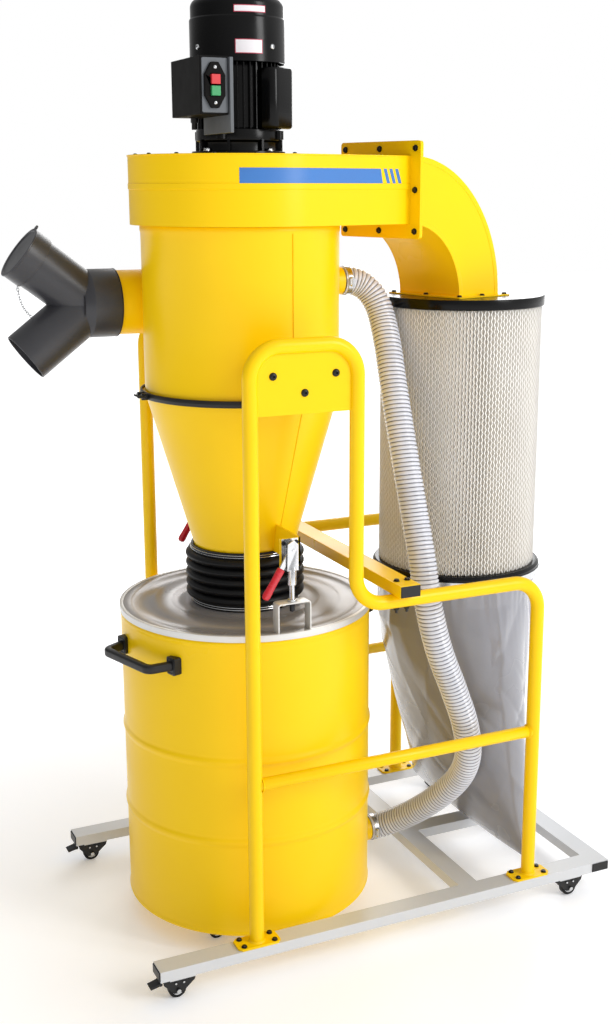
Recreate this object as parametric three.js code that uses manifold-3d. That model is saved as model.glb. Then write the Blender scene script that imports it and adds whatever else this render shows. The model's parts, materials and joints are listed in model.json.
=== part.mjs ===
// Two-stage dust collector on a castor base: a cyclone over a roll-out drum, with the fan and
// motor on top, and a filter cartridge with a dust bag beside it. Millimetres, +Z up, +X from
// the cyclone towards the filter, -Y the front. Every place is first given from the cyclone's
// axis, and the last lines shift the whole object to the middle of its base.
import * as THREE from "three";
import { mergeVertices } from "three/addons/utils/BufferGeometryUtils.js";
import Module from "manifold-3d";

const wasm = await Module();
wasm.setup();

// ---- driving dimensions -------------------------------------------------------------------
const GAP = 0.3; // between pieces that touch
const RUNNING = 0.3; // radial clearance of turning and sliding pieces
const ROUND = 32; // flats on the large round shells

const SIDE_Y = 338.5; // centre plane of the rails and side frames
const FLOOR_TO_RAIL = 55; // height of a base castor with its plate
const RAIL_WIDTH = 50;
const RAIL_HEIGHT = 25;
const RAIL_LEFT = -351;
const RAIL_RIGHT = 810;
const MIDDLE_MEMBER_X = 435;
const CASTOR_LEFT_X = -300;
const CASTOR_RIGHT_X = 700;

// The cyclone's stack of heights: cone, barrel, then the fan on the barrel's flange.
const CONE_BOTTOM_Z = 905;
const CONE_TOP_Z = CONE_BOTTOM_Z + 350;
const BARREL_HEIGHT = 364;
const BARREL_TOP_Z = CONE_TOP_Z + BARREL_HEIGHT;
const FAN_BOTTOM_Z = BARREL_TOP_Z + 1;

const TUBE = 32; // diameter of the side frames' tube
const POST_X = 120; // tall posts stand at -POST_X and +POST_X
const FAR_POST_X = 588;
const FRAME_TOP_Z = CONE_TOP_Z + 135;
const SIDE_RAIL_Z = 822;
const BRACE_Z = 453;
const BEND = 66;
const FOOT = { length: 100, width: 50, thickness: 5 };
const BRACE_TUBE = 28;
const GUSSET_BOTTOM_Z = CONE_TOP_Z - 5;
const GUSSET_THICKNESS = 4;
const BEAM = { x: 231, width: 50, height: 28, overhang: 40 };

const DRUM_RADIUS = 290;
const DRUM_BOTTOM_Z = 52.5;
const DRUM_TOP_Z = 752;
const DRUM_WALL = 2;
const HOOPS_Z = [282, 473];
const DRUM_CASTOR_AT = 155;
const HANDLE = { angle: 17, z: 689, span: 189, reach: 62, bar: 9, foot: 32 };
const SPIGOT = { radius: 31, wall: 2, end: 325, z: 105 };
const LID_THICKNESS = 8;
const GASKET = 5;
const LID_BRACKET = { width: 78, height: 66, depth: 30, strip: 3, y: DRUM_RADIUS - 20 };
const TOGGLE = {
  y: LID_BRACKET.y, flangeY: LID_BRACKET.y - 13.5,
  z0: CONE_BOTTOM_Z - 2, z1: CONE_BOTTOM_Z + 63, pivot: CONE_BOTTOM_Z + 40,
};
const PLUNGER_RADIUS = 6;
const WASHER = 4;
const NECK_RADIUS = 118; // the lid's neck and the cone's outlet, inside the bellows
const BARREL_RADIUS = 218;
const SHEET = 2; // sheet-metal wall of the cyclone, fan and ducts
const LID_LIFT = 30;
const VORTEX = { radius: 88, bottom: BARREL_TOP_Z - 279 };

const FAN_RADIUS = 240;
const FAN_HEIGHT = 145;
const COVER = 3;
const SHAFT = 12;
const IMPELLER = { radius: 165, bottom: FAN_BOTTOM_Z + 16, height: 92, blades: 8 };
const DUCT_WIDTH = 195;
const FLANGE = { at: 288, rim: 32, thickness: 4 };
const FILTER_X = 568;
const ELBOW_OFFSET_X = 36; // the elbow's foot stands this much nearer the cyclone
const FILTER_TOP_Z = FAN_BOTTOM_Z - 170;
const ELBOW_FOOT_WIDTH = 130;
const ELBOW_FOOT_FLANGE = 22;
const FILTER_RADIUS = 193;
const FILTER_BOTTOM_Z = 800;
const CAP_HEIGHT = 24;
const BAG = { bottom: 92, halfWidth: 285, foldX: 50, thickness: 9 };

const HOSE_PORT = { x: 245, z: BARREL_TOP_Z - 129 };
const INLET = { y: 148, radius: 71.5, z: BARREL_TOP_Z - 172, stub: -290, collar: -306 };
const WYE = {
  radius: 57.5, wall: 3, angle: 37.5, reach: 186, heel: -25, sleeve: 75.5, sleeveEnd: -248,
};
const CAP_LENGTH = 42;

const MOTOR_FOOT_Z = FAN_BOTTOM_Z + FAN_HEIGHT;
const MOTOR = {
  radius: 88, neck: 92, cowl: 99.5, top: MOTOR_FOOT_Z + 210, cowlTop: MOTOR_FOOT_Z + 327,
};
const SWITCH_BOX = {
  x0: -152, x1: -92, y0: -176, y1: -4, z0: MOTOR_FOOT_Z + 75, z1: MOTOR_FOOT_Z + 188,
};
const CAPACITOR = {
  near: 92, far: 124, width: 76, angle: -60,
  z0: MOTOR_FOOT_Z + 53, z1: MOTOR_FOOT_Z + 177, seatZ: MOTOR_FOOT_Z + 135,
};
const BUTTON = { size: 19, proud: 6, travel: 4, pitch: 22 };

// ---- materials ----------------------------------------------------------------------------
const look = (color, roughness, metalness) =>
  new THREE.MeshStandardMaterial({ color, roughness, metalness });
const YELLOW = look("#f4c613", 0.35, 0.1);
const BASE_GREY = look("#c9cacb", 0.4, 0.3);
const LID_GREY = look("#9a9590", 0.45, 0.2);
const BLACK_PLASTIC = look("#2b2b2d", 0.6, 0);
const BLACK_ENAMEL = look("#111214", 0.25, 0.2);
const RUBBER = look("#1b1b1c", 0.8, 0);
const ZINC = look("#b5b8ba", 0.3, 0.9);
const RED_VINYL = look("#c8142a", 0.35, 0);
const PAPER = look("#dad4c8", 0.9, 0);
const BAG_FILM = look("#8e8a8d", 0.3, 0);
const HOSE_GREY = look("#b9b2ae", 0.4, 0);
const ALUMINIUM = look("#a8acb0", 0.4, 0.8);
const STOP_RED = look("#d13a3a", 0.4, 0);
const START_GREEN = look("#3f9a63", 0.4, 0);

const root = new THREE.Group();

// ---- solids -------------------------------------------------------------------------------
// A closed geometry as a manifold solid, turned the right way out.
function toSolid(geometry) {
  const flat = geometry.index ? geometry.toNonIndexed() : geometry;
  const bare = new THREE.BufferGeometry();
  bare.setAttribute("position", flat.getAttribute("position").clone());
  const merged = mergeVertices(bare, 1e-3);
  const triVerts = new Uint32Array(merged.index.array);
  const vertProperties = merged.attributes.position.array;
  const made = new wasm.Manifold(new wasm.Mesh({ numProp: 3, vertProperties, triVerts }));
  if (made.volume() > 0) return made;
  for (let i = 0; i < triVerts.length; i += 3) {
    [triVerts[i], triVerts[i + 1]] = [triVerts[i + 1], triVerts[i]];
  }
  return new wasm.Manifold(new wasm.Mesh({ numProp: 3, vertProperties, triVerts }));
}

function toGeometry(manifold) {
  const mesh = manifold.getMesh();
  const geometry = new THREE.BufferGeometry();
  geometry.setAttribute("position", new THREE.BufferAttribute(mesh.vertProperties, 3));
  geometry.setIndex(new THREE.BufferAttribute(mesh.triVerts, 1));
  return geometry;
}

const join = (...geometries) =>
  toGeometry(geometries.map(toSolid).reduce((sum, next) => sum.add(next)));
const cut = (geometry, ...tools) =>
  toGeometry(tools.map(toSolid).reduce((rest, tool) => rest.subtract(tool), toSolid(geometry)));
const within = (geometry, mask) => toGeometry(toSolid(geometry).intersect(toSolid(mask)));

// A box from its low corner to its high corner.
function block(x0, x1, y0, y1, z0, z1) {
  const box = new THREE.BoxGeometry(x1 - x0, y1 - y0, z1 - z0);
  return box.translate((x0 + x1) / 2, (y0 + y1) / 2, (z0 + z1) / 2);
}

// A round bar between two points.
function rod(radius, from, to, sides = 16) {
  const a = new THREE.Vector3(...from);
  const b = new THREE.Vector3(...to);
  const bar = new THREE.CylinderGeometry(radius, radius, a.distanceTo(b), sides);
  const turn = new THREE.Quaternion().setFromUnitVectors(
    new THREE.Vector3(0, 1, 0),
    b.clone().sub(a).normalize(),
  );
  bar.applyQuaternion(turn);
  return bar.translate((a.x + b.x) / 2, (a.y + b.y) / 2, (a.z + b.z) / 2);
}

// A profile of [radius, height] points turned about the Z axis.
function turned(profile, segments = 32) {
  const points = profile.map(([r, z]) => new THREE.Vector2(r, z));
  return new THREE.LatheGeometry(points, segments).rotateX(Math.PI / 2);
}

// An open pipe wall: outer and inner radii between two heights.
function ring(outer, inner, z0, z1, segments = 32) {
  return turned([[inner, z0], [outer, z0], [outer, z1], [inner, z1], [inner, z0]], segments);
}

// Inner radius of a faceted round whose flats still clear a round piece of this radius.
const around = (radius, sides) => (radius + GAP) / Math.cos(Math.PI / sides);

// A flat outline of [x, y] points raised to a thickness along Z.
function slab(outline, thickness) {
  const shape = outline instanceof THREE.Shape
    ? outline
    : new THREE.Shape(outline.map(([x, y]) => new THREE.Vector2(x, y)));
  return new THREE.ExtrudeGeometry(shape, { depth: thickness, bevelEnabled: false, curveSegments: 14 });
}

// An outline in X and Z, with its thickness along Y from y0 to y1.
function upright(outline, y0, y1) {
  return slab(outline, y1 - y0).rotateX(Math.PI / 2).translate(0, y1, 0);
}

// Straight runs with round bends; the section is placed only where the direction changes.
class BentPath extends THREE.Curve {
  constructor(corners, bend, bendSteps = 4) {
    super();
    this.points = [];
    this.tangents = [];
    const points = corners.map((corner) => new THREE.Vector3(...corner));
    points.forEach((corner, i) => {
      if (i === 0 || i === points.length - 1) {
        const [a, b] = i === 0 ? [points[0], points[1]] : [points[i - 1], points[i]];
        this.points.push(corner.clone());
        this.tangents.push(b.clone().sub(a).normalize());
        return;
      }
      const inward = corner.clone().sub(points[i - 1]).normalize();
      const outward = points[i + 1].clone().sub(corner).normalize();
      const turn = inward.angleTo(outward);
      const back = bend * Math.tan(turn / 2);
      const start = corner.clone().addScaledVector(inward, -back);
      const side = outward.clone().addScaledVector(inward, -outward.dot(inward)).normalize();
      for (let k = 0; k <= bendSteps; k += 1) {
        const angle = (turn * k) / bendSteps;
        const point = start.clone();
        point.addScaledVector(inward, bend * Math.sin(angle));
        point.addScaledVector(side, bend * (1 - Math.cos(angle)));
        const tangent = inward.clone().multiplyScalar(Math.cos(angle));
        tangent.addScaledVector(side, Math.sin(angle));
        this.points.push(point);
        this.tangents.push(tangent);
      }
    });
  }
  get steps() {
    return this.points.length - 1;
  }
  between(list, t) {
    const place = Math.min(Math.max(t, 0), 1) * this.steps;
    const i = Math.min(Math.floor(place), this.steps - 1);
    return list[i].clone().lerp(list[i + 1], place - i);
  }
  getPoint(t) {
    return this.between(this.points, t);
  }
  getPointAt(t) {
    return this.getPoint(t);
  }
  getTangent(t) {
    return this.between(this.tangents, t).normalize();
  }
  getTangentAt(t) {
    return this.getTangent(t);
  }
}

function circleShape(radius, sides) {
  const points = [];
  for (let i = 0; i < sides; i += 1) {
    const angle = (2 * Math.PI * i) / sides;
    points.push(new THREE.Vector2(radius * Math.cos(angle), radius * Math.sin(angle)));
  }
  return new THREE.Shape(points);
}

const tubeAlong = (path, radius, sides, steps) =>
  new THREE.ExtrudeGeometry(circleShape(radius, sides), {
    extrudePath: path,
    steps,
    bevelEnabled: false,
  });

function add(name, geometry, material, parent = root) {
  const mesh = new THREE.Mesh(toGeometry(toSolid(geometry)), material);
  mesh.name = name;
  parent.add(mesh);
  return mesh;
}

const SIDES = [["front", -1], ["rear", 1]];

// ---- castors ------------------------------------------------------------------------------
const BASE_CASTOR = { plate: 3, wheel: 20, width: 18, trail: 8, hood: [-32, 42], head: 17 };
const DRUM_CASTOR = { plate: 3, wheel: 18, width: 16, trail: 8, hood: [-22, 32], head: 15 };
const AXLE = 3;
const HOOD_WALL = 2.5;
const HEAD = 5; // depth of the turning head under the plate

// A swivelling castor whose plate face is at plateZ; it trails along `turn` degrees from +X.
function castor(tag, size, x, y, plateZ, turn) {
  const group = new THREE.Group();
  group.position.set(x, y, plateZ);
  group.rotation.z = THREE.MathUtils.degToRad(turn);
  root.add(group);
  const axleZ = size.wheel - plateZ;
  const legInside = size.width / 2 + 1;
  const legOutside = legInside + HOOD_WALL;
  const top = -GAP;
  const crown = -HEAD;
  const hood = [
    [size.hood[0], crown],
    [size.hood[1], crown],
    [size.hood[1] - 2, crown - 9],
    [size.trail + 10, axleZ - 6],
    [size.trail - 10, axleZ - 6],
    [size.hood[0] + 2, crown - 9],
  ];
  const legs = [-1, 1].map((side) =>
    side < 0 ? upright(hood, -legOutside, -legInside) : upright(hood, legInside, legOutside),
  );
  const fork = join(
    turned([[0, crown - HOOD_WALL], [size.head, crown - HOOD_WALL], [size.head, top], [0, top]], 12),
    block(size.hood[0], size.hood[1], -legOutside, legOutside, crown - HOOD_WALL, crown),
    ...legs,
    rod(AXLE, [size.trail, -legOutside - 1, axleZ], [size.trail, legOutside + 1, axleZ], 8),
  );
  add("castor_fork_" + tag, fork, BLACK_PLASTIC, group);
  const bore = around(AXLE, 16) - GAP + RUNNING;
  const half = size.width / 2;
  const tread = turned(
    [
      [bore, -half + 1],
      [size.wheel - 2, -half],
      [size.wheel, -half + 3],
      [size.wheel, half - 3],
      [size.wheel - 2, half],
      [bore, half - 1],
      [bore, -half + 1],
    ],
    16,
  ).rotateX(Math.PI / 2);
  add("castor_wheel_" + tag, tread.translate(size.trail, 0, axleZ), RUBBER, group);
  return { group, axleZ, legOutside, crown };
}

// A foot lever across the trailing end of a castor's hood.
function brakePedal(tag, size, { group, crown, legOutside }) {
  const hinge = size.hood[1] + 5;
  const pedal = join(
    rod(4, [hinge, -legOutside, crown - 4], [hinge, legOutside, crown - 4], 10),
    upright([[hinge - 2, crown - 7], [hinge + 22, crown - 12], [hinge + 24, crown - 7],
      [hinge + 2, crown - 1]], -legOutside + 1, legOutside - 1),
  );
  add("brake_pedal_" + tag, pedal, BLACK_PLASTIC, group);
}

// ---- base ---------------------------------------------------------------------------------
const CASTOR_PLATE_Z = FLOOR_TO_RAIL - BASE_CASTOR.plate;
const RAIL_TOP_Z = FLOOR_TO_RAIL + RAIL_HEIGHT;

function baseFrame() {
  const half = RAIL_WIDTH / 2;
  const bar = (x0, x1, y0, y1) => block(x0, x1, y0, y1, FLOOR_TO_RAIL, RAIL_TOP_Z);
  const rails = SIDES.map(([, s]) => bar(RAIL_LEFT, RAIL_RIGHT, s * SIDE_Y - half, s * SIDE_Y + half));
  const across = [MIDDLE_MEMBER_X, RAIL_RIGHT - half].map((x) =>
    bar(x - half, x + half, -SIDE_Y, SIDE_Y),
  );
  const spine = bar(MIDDLE_MEMBER_X, RAIL_RIGHT - half, -half, half);
  const plates = [CASTOR_LEFT_X, CASTOR_RIGHT_X].flatMap((x) =>
    SIDES.map(([, s]) =>
      block(x - 30, x + 30, s * SIDE_Y - 24, s * SIDE_Y + 24, CASTOR_PLATE_Z, FLOOR_TO_RAIL + 1)),
  );
  add("base_frame", join(...rails, ...across, spine, ...plates), BASE_GREY);
  SIDES.forEach(([end, s]) => {
    const left = castor(end + "_left", BASE_CASTOR, CASTOR_LEFT_X, s * SIDE_Y, CASTOR_PLATE_Z, 180);
    brakePedal(end + "_left", BASE_CASTOR, left);
    castor(end + "_right", BASE_CASTOR, CASTOR_RIGHT_X, s * SIDE_Y, CASTOR_PLATE_Z, 0);
  });
}

// ---- side frames --------------------------------------------------------------------------
const FOOT_TOP_Z = RAIL_TOP_Z + GAP + FOOT.thickness;

function sideFrame(name, s) {
  const y = s * SIDE_Y;
  const path = new BentPath(
    [
      [-POST_X, y, FOOT_TOP_Z - 2],
      [-POST_X, y, FRAME_TOP_Z],
      [POST_X, y, FRAME_TOP_Z],
      [POST_X, y, SIDE_RAIL_Z],
      [FAR_POST_X, y, SIDE_RAIL_Z],
      [FAR_POST_X, y, FOOT_TOP_Z - 2],
    ],
    BEND,
  );
  const tube = tubeAlong(path, TUBE / 2, 10, path.steps);
  const brace = rod(BRACE_TUBE / 2, [-POST_X, y, BRACE_Z], [FAR_POST_X, y, BRACE_Z], 10);
  const feet = [-POST_X, FAR_POST_X].map((x) =>
    block(x - FOOT.length / 2, x + FOOT.length / 2, y - FOOT.width / 2, y + FOOT.width / 2,
      RAIL_TOP_Z + GAP, FOOT_TOP_Z));
  const gusset = upright(
    [
      [-POST_X, GUSSET_BOTTOM_Z],
      [POST_X, GUSSET_BOTTOM_Z],
      [POST_X, FRAME_TOP_Z - BEND],
      [POST_X - BEND, FRAME_TOP_Z],
      [BEND - POST_X, FRAME_TOP_Z],
      [-POST_X, FRAME_TOP_Z - BEND],
    ],
    y - GUSSET_THICKNESS / 2,
    y + GUSSET_THICKNESS / 2,
  );
  add(name, join(tube, brace, ...feet, gusset), YELLOW);
}

function crossBeam() {
  const z = SIDE_RAIL_Z + TUBE / 2 + GAP;
  const half = SIDE_Y + BEAM.overhang;
  const bar = block(BEAM.x - BEAM.width / 2, BEAM.x + BEAM.width / 2, -half, half, z, z + BEAM.height);
  add("cross_beam", bar, YELLOW);
}

// ---- cyclone ------------------------------------------------------------------------------
function barrel() {
  const z0 = CONE_TOP_Z + GAP;
  const inside = BARREL_RADIUS - SHEET;
  const stub = rod(INLET.radius, [0, INLET.y, INLET.z], [INLET.stub, INLET.y, INLET.z], 20);
  const port = rod(SPIGOT.radius, [0, 0, HOSE_PORT.z], [HOSE_PORT.x, 0, HOSE_PORT.z], 16);
  const lip = ring(BARREL_RADIUS + 6, BARREL_RADIUS - 1, z0, z0 + 3, ROUND);
  const pads = SIDES.map(([, s]) => {
    const y0 = s * (BARREL_RADIUS - 30);
    const y1 = s * (SIDE_Y - GUSSET_THICKNESS / 2 - GAP);
    return block(-62, 62, Math.min(y0, y1), Math.max(y0, y1), GUSSET_BOTTOM_Z + 30, FRAME_TOP_Z - 30);
  });
  const hollows = [
    turned([[0, z0 - 1], [inside, z0 - 1], [inside, BARREL_TOP_Z + 1], [0, BARREL_TOP_Z + 1]], ROUND),
    rod(INLET.radius - SHEET, [0, INLET.y, INLET.z], [INLET.stub - 5, INLET.y, INLET.z], 20),
    rod(SPIGOT.radius - SPIGOT.wall, [0, 0, HOSE_PORT.z], [HOSE_PORT.x + 5, 0, HOSE_PORT.z], 16),
  ];
  add("cyclone_barrel", cut(join(turned([[0, z0], [BARREL_RADIUS, z0], [BARREL_RADIUS, BARREL_TOP_Z],
    [0, BARREL_TOP_Z]], ROUND), stub, port, lip, ...pads), ...hollows), YELLOW);
}

function vortexTube() {
  const top = BARREL_TOP_Z - GAP;
  const r = VORTEX.radius;
  const wide = BARREL_RADIUS - SHEET - RUNNING * 3;
  const profile = [
    [r - SHEET, VORTEX.bottom],
    [r, VORTEX.bottom],
    [r, top - 3],
    [wide, top - 3],
    [wide, top],
    [r - SHEET, top],
    [r - SHEET, VORTEX.bottom],
  ];
  add("vortex_tube", turned(profile, 32), BASE_GREY);
}

function cone() {
  const r0 = NECK_RADIUS;
  const r1 = BARREL_RADIUS;
  const neck = CONE_BOTTOM_Z - 30;
  const wall = SHEET;
  const shell = turned(
    [
      [r0 - wall, neck],
      [r0, neck],
      [r0, CONE_BOTTOM_Z],
      [r1, CONE_TOP_Z - 3],
      [r1 + 6, CONE_TOP_Z - 3],
      [r1 + 6, CONE_TOP_Z],
      [r1 - wall, CONE_TOP_Z],
      [r0 - wall, CONE_BOTTOM_Z],
      [r0 - wall, neck],
    ],
    ROUND,
  );
  const arms = SIDES.map(([, s]) => {
    const span = (x0, x1, a, b) => block(x0, x1, Math.min(s * a, s * b), Math.max(s * a, s * b),
      TOGGLE.z0, TOGGLE.z1);
    return join(span(22, 26, 100, TOGGLE.flangeY), span(-22, 26, TOGGLE.flangeY - 3, TOGGLE.flangeY));
  });
  const inner = turned([[0, neck - 1], [r0 - wall, neck - 1], [r0 - wall, CONE_BOTTOM_Z],
    [r1 - wall, CONE_TOP_Z + 1], [0, CONE_TOP_Z + 1]], ROUND);
  add("cyclone_cone", cut(join(shell, ...arms), inner), YELLOW);
}

// The V-band that pulls the barrel's and the cone's lips together, with its latch bolt at -X.
function bandClamp() {
  const r = BARREL_RADIUS + 6 + GAP;
  const z = CONE_TOP_Z;
  const band = turned([[r, z - 8], [r + 4, z - 8], [r + 4, z + 8], [r, z + 8], [r, z - 8]], ROUND);
  const lugs = block(-r - 22, -r - 2, -9, 9, z - 7, z + 7);
  const bolt = rod(4, [-r - 14, -26, z], [-r - 14, 30, z], 8);
  add("band_clamp", join(band, lugs, bolt), BLACK_ENAMEL);
}

// The black two-way inlet: a sleeve over the stub and two branches at +-angle in the XZ plane.
function wyeGroup() {
  const group = new THREE.Group();
  group.position.set(0, INLET.y, INLET.z);
  root.add(group);
  const tilt = THREE.MathUtils.degToRad(WYE.angle);
  const tip = (s, reach) => [
    INLET.collar - reach * Math.cos(tilt),
    0,
    s * reach * Math.sin(tilt),
  ];
  const inside = around(INLET.radius, 20);
  const sleeve = rod(WYE.sleeve, [WYE.sleeveEnd, 0, 0], [INLET.collar, 0, 0], 20);
  // Each branch starts inside the sleeve, at its heel.
  const branches = [1, -1].map((s) => rod(WYE.radius, tip(s, WYE.heel), tip(s, WYE.reach), 16));
  const hollows = [
    rod(inside, [WYE.sleeveEnd + 5, 0, 0], [INLET.collar + 12, 0, 0], 20),
    ...[1, -1].map((s) =>
      rod(WYE.radius - WYE.wall, tip(s, WYE.heel), tip(s, WYE.reach + 5), 16)),
  ];
  const dome = turned([[0, 0], [WYE.sleeve, 0], [WYE.sleeve * 0.72, 30], [0, 34]], 20)
    .rotateY(-Math.PI / 2)
    .translate(INLET.collar, 0, 0);
  add("inlet_wye", cut(join(sleeve, dome, ...branches), ...hollows), BLACK_PLASTIC, group);
  const r = around(WYE.radius, 16);
  const skirt = 4 - CAP_LENGTH;
  const cap = turned([[0, GAP], [r, GAP], [r, skirt], [r + 4, skirt], [r + 4, 4], [0, 4]], 16);
  cap.rotateY(-Math.PI / 2 + tilt);
  const end = tip(1, WYE.reach);
  add("inlet_cap", cap.translate(...end), BLACK_PLASTIC, group);
}

// ---- bellows between the cone's outlet and the lid ----------------------------------------
const LID_Z = DRUM_TOP_Z + GASKET + 2 * GAP;
const LID_TOP_Z = LID_Z + LID_THICKNESS;

function bellows() {
  const sides = 24;
  const inner = around(NECK_RADIUS, sides);
  const z0 = LID_TOP_Z + GAP;
  const z1 = CONE_BOTTOM_Z - 2;
  const ribs = 4;
  const profile = [[inner, z0], [inner + 8, z0], [inner + 8, z0 + 14]];
  const pitch = (z1 - z0 - 28) / ribs;
  for (let i = 0; i < ribs; i += 1) {
    const low = z0 + 14 + i * pitch;
    profile.push([inner + 17, low + pitch * 0.25], [inner + 17, low + pitch * 0.75]);
    profile.push([inner + 7, low + pitch]);
  }
  profile.push([inner + 8, z1], [inner, z1], [inner, z0]);
  add("bellows", turned(profile, sides), RUBBER);
}

// ---- drum ---------------------------------------------------------------------------------
function drum() {
  const r = DRUM_RADIUS;
  const inner = r - DRUM_WALL;
  const outside = [[0, DRUM_BOTTOM_Z], [r, DRUM_BOTTOM_Z]];
  HOOPS_Z.forEach((z) => outside.push([r, z - 9], [r + 4, z - 4], [r + 4, z + 4], [r, z + 9]));
  const shell = turned([
    ...outside,
    [r, DRUM_TOP_Z],
    [inner, DRUM_TOP_Z],
    [inner, DRUM_BOTTOM_Z + DRUM_WALL],
    [0, DRUM_BOTTOM_Z + DRUM_WALL],
  ], ROUND);
  const spigot = rod(SPIGOT.radius, [inner - 6, 0, SPIGOT.z], [SPIGOT.end, 0, SPIGOT.z], 16);
  const bore = rod(SPIGOT.radius - SPIGOT.wall, [inner - 12, 0, SPIGOT.z],
    [SPIGOT.end + 4, 0, SPIGOT.z], 16);
  const plateZ = DRUM_BOTTOM_Z - DRUM_CASTOR.plate;
  const corners = [["front_left", -1, -1], ["front_right", 1, -1], ["rear_left", -1, 1],
    ["rear_right", 1, 1]];
  const pads = corners.map(([, sx, sy]) =>
    block(sx * DRUM_CASTOR_AT - 20, sx * DRUM_CASTOR_AT + 20, sy * DRUM_CASTOR_AT - 20,
      sy * DRUM_CASTOR_AT + 20, plateZ, DRUM_BOTTOM_Z + 1));
  add("drum_body", cut(join(shell, spigot, ...pads), bore), YELLOW);
  corners.forEach(([tag, sx, sy]) =>
    castor("drum_" + tag, DRUM_CASTOR, sx * DRUM_CASTOR_AT, sy * DRUM_CASTOR_AT, plateZ, 0));
}

// A moulded bow handle: two feet on the drum's side and a bar that stands off it.
function drumHandle(name, angle) {
  const group = new THREE.Group();
  group.position.z = HANDLE.z;
  group.rotation.z = THREE.MathUtils.degToRad(angle);
  root.add(group);
  const half = HANDLE.span / 2;
  const seat = Math.sqrt(DRUM_RADIUS ** 2 - (half - 4) ** 2);
  const outer = seat + HANDLE.reach;
  const bow = new BentPath([[seat - 4, -half, 0], [outer, -half + 18, 0], [outer, half - 18, 0],
    [seat - 4, half, 0]], 14, 3);
  const bar = tubeAlong(bow, HANDLE.bar, 8, bow.steps);
  const feet = [-1, 1].map((s) =>
    block(seat - 12, seat + 9, s * half - 15, s * half + 15, -HANDLE.foot / 2, HANDLE.foot / 2));
  const clear = rod(around(DRUM_RADIUS, ROUND), [0, 0, -60], [0, 0, 60], ROUND);
  add(name, cut(join(bar, ...feet), clear), BLACK_PLASTIC, group);
}

function lid() {
  const z = LID_Z;
  const top = LID_TOP_Z;
  const r = DRUM_RADIUS;
  const neck = NECK_RADIUS;
  const plate = turned(
    [
      [neck - SHEET, z],
      [r, z],
      [r, top],
      [r - 12, top],
      [r - 16, top - 4],
      [r - 60, top - 4],
      [r - 70, top],
      [neck, top],
      [neck, top + 26],
      [neck - SHEET, top + 26],
      [neck - SHEET, z],
    ],
    ROUND,
  );
  const b = LID_BRACKET;
  const brackets = SIDES.map(([, s]) => {
    const y0 = s * b.y - b.depth / 2;
    const y1 = s * b.y + b.depth / 2;
    const base = top - 5;
    return cut(
      block(-b.width / 2, b.width / 2, y0, y1, base, base + b.height + 5),
      block(b.strip - b.width / 2, b.width / 2 - b.strip, y0 - 1, y1 + 1, base - 1,
        base + b.height + 5 - b.strip),
    );
  });
  add("drum_lid", within(join(plate, ...brackets), rod(r, [0, 0, z - 1], [0, 0, top + 90], ROUND)),
    LID_GREY);
  add("lid_gasket", ring(r - 1, r - 14, DRUM_TOP_Z + GAP, z - GAP, ROUND), RUBBER);
}

// ---- toggle clamps ------------------------------------------------------------------------
const BRACKET_TOP_Z = LID_TOP_Z + LID_BRACKET.height;

function toggleClamp(end, s) {
  const group = new THREE.Group();
  group.scale.y = s;
  root.add(group);
  const y = TOGGLE.y;
  const face = TOGGLE.flangeY + GAP;
  const plate = block(-19, 19, face, face + 3, TOGGLE.z0, TOGGLE.z1);
  const barrelBottom = BRACKET_TOP_Z + WASHER + LID_LIFT + 3;
  const guide = rod(10, [0, y, barrelBottom], [0, y, TOGGLE.z0 + 4], 16);
  const web = block(-4, 4, face + 2, y, barrelBottom + 10, TOGGLE.z0 + 8);
  const cheeks = [[y - 8, y - 5.5], [y + 5.5, y + 8]].map(([a, b]) =>
    upright([[-14, TOGGLE.z0 - 2], [12, TOGGLE.z0 - 2], [12, TOGGLE.z1 - 10], [2, TOGGLE.z1],
      [-12, TOGGLE.z1 - 8]], a, b));
  const back = block(9, 12, face + 2, y + 8, TOGGLE.z0 - 2, TOGGLE.z1 - 12);
  const floor = block(-14, 12, y - 8, y + 8, TOGGLE.z0 - 2, TOGGLE.z0 + 3);
  const pin = rod(3, [0, y - 9, TOGGLE.pivot], [0, y + 9, TOGGLE.pivot], 10);
  const bore = rod(PLUNGER_RADIUS + RUNNING, [0, y, barrelBottom - 1],
    [0, y, TOGGLE.z0 + LID_LIFT + 2], 12);
  add("toggle_base_" + end, join(cut(join(plate, guide, web, ...cheeks, back, floor), bore), pin),
    ZINC, group);
  const washer = turned([[0, 0], [11, 0], [11, WASHER], [0, WASHER]], 12)
    .translate(0, y, BRACKET_TOP_Z + GAP);
  const stem = rod(PLUNGER_RADIUS, [0, y, BRACKET_TOP_Z + GAP], [0, y, TOGGLE.z0 - 3], 12);
  add("toggle_plunger_" + end, join(washer, stem), ZINC, group);
  // The lever hangs down towards -X, 32 degrees off the plunger.
  const lean = THREE.MathUtils.degToRad(32);
  const along = (d) => [-d * Math.sin(lean), y, TOGGLE.pivot - d * Math.cos(lean)];
  const hub = rod(8, [0, y - 4.5, TOGGLE.pivot], [0, y + 4.5, TOGGLE.pivot], 14);
  const [ax, , az] = along(3);
  const [bx, , bz] = along(60);
  const arm = upright([[ax - 7, az + 4], [ax + 7, az - 4], [bx + 5, bz - 3], [bx - 5, bz + 3]],
    y - 2.5, y + 2.5);
  const grip = rod(9, along(48), along(122), 12);
  const eye = rod(3 + RUNNING, [0, y - 10, TOGGLE.pivot], [0, y + 10, TOGGLE.pivot], 14);
  add("toggle_lever_" + end, cut(join(hub, arm, grip), eye), RED_VINYL, group);
}

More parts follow.
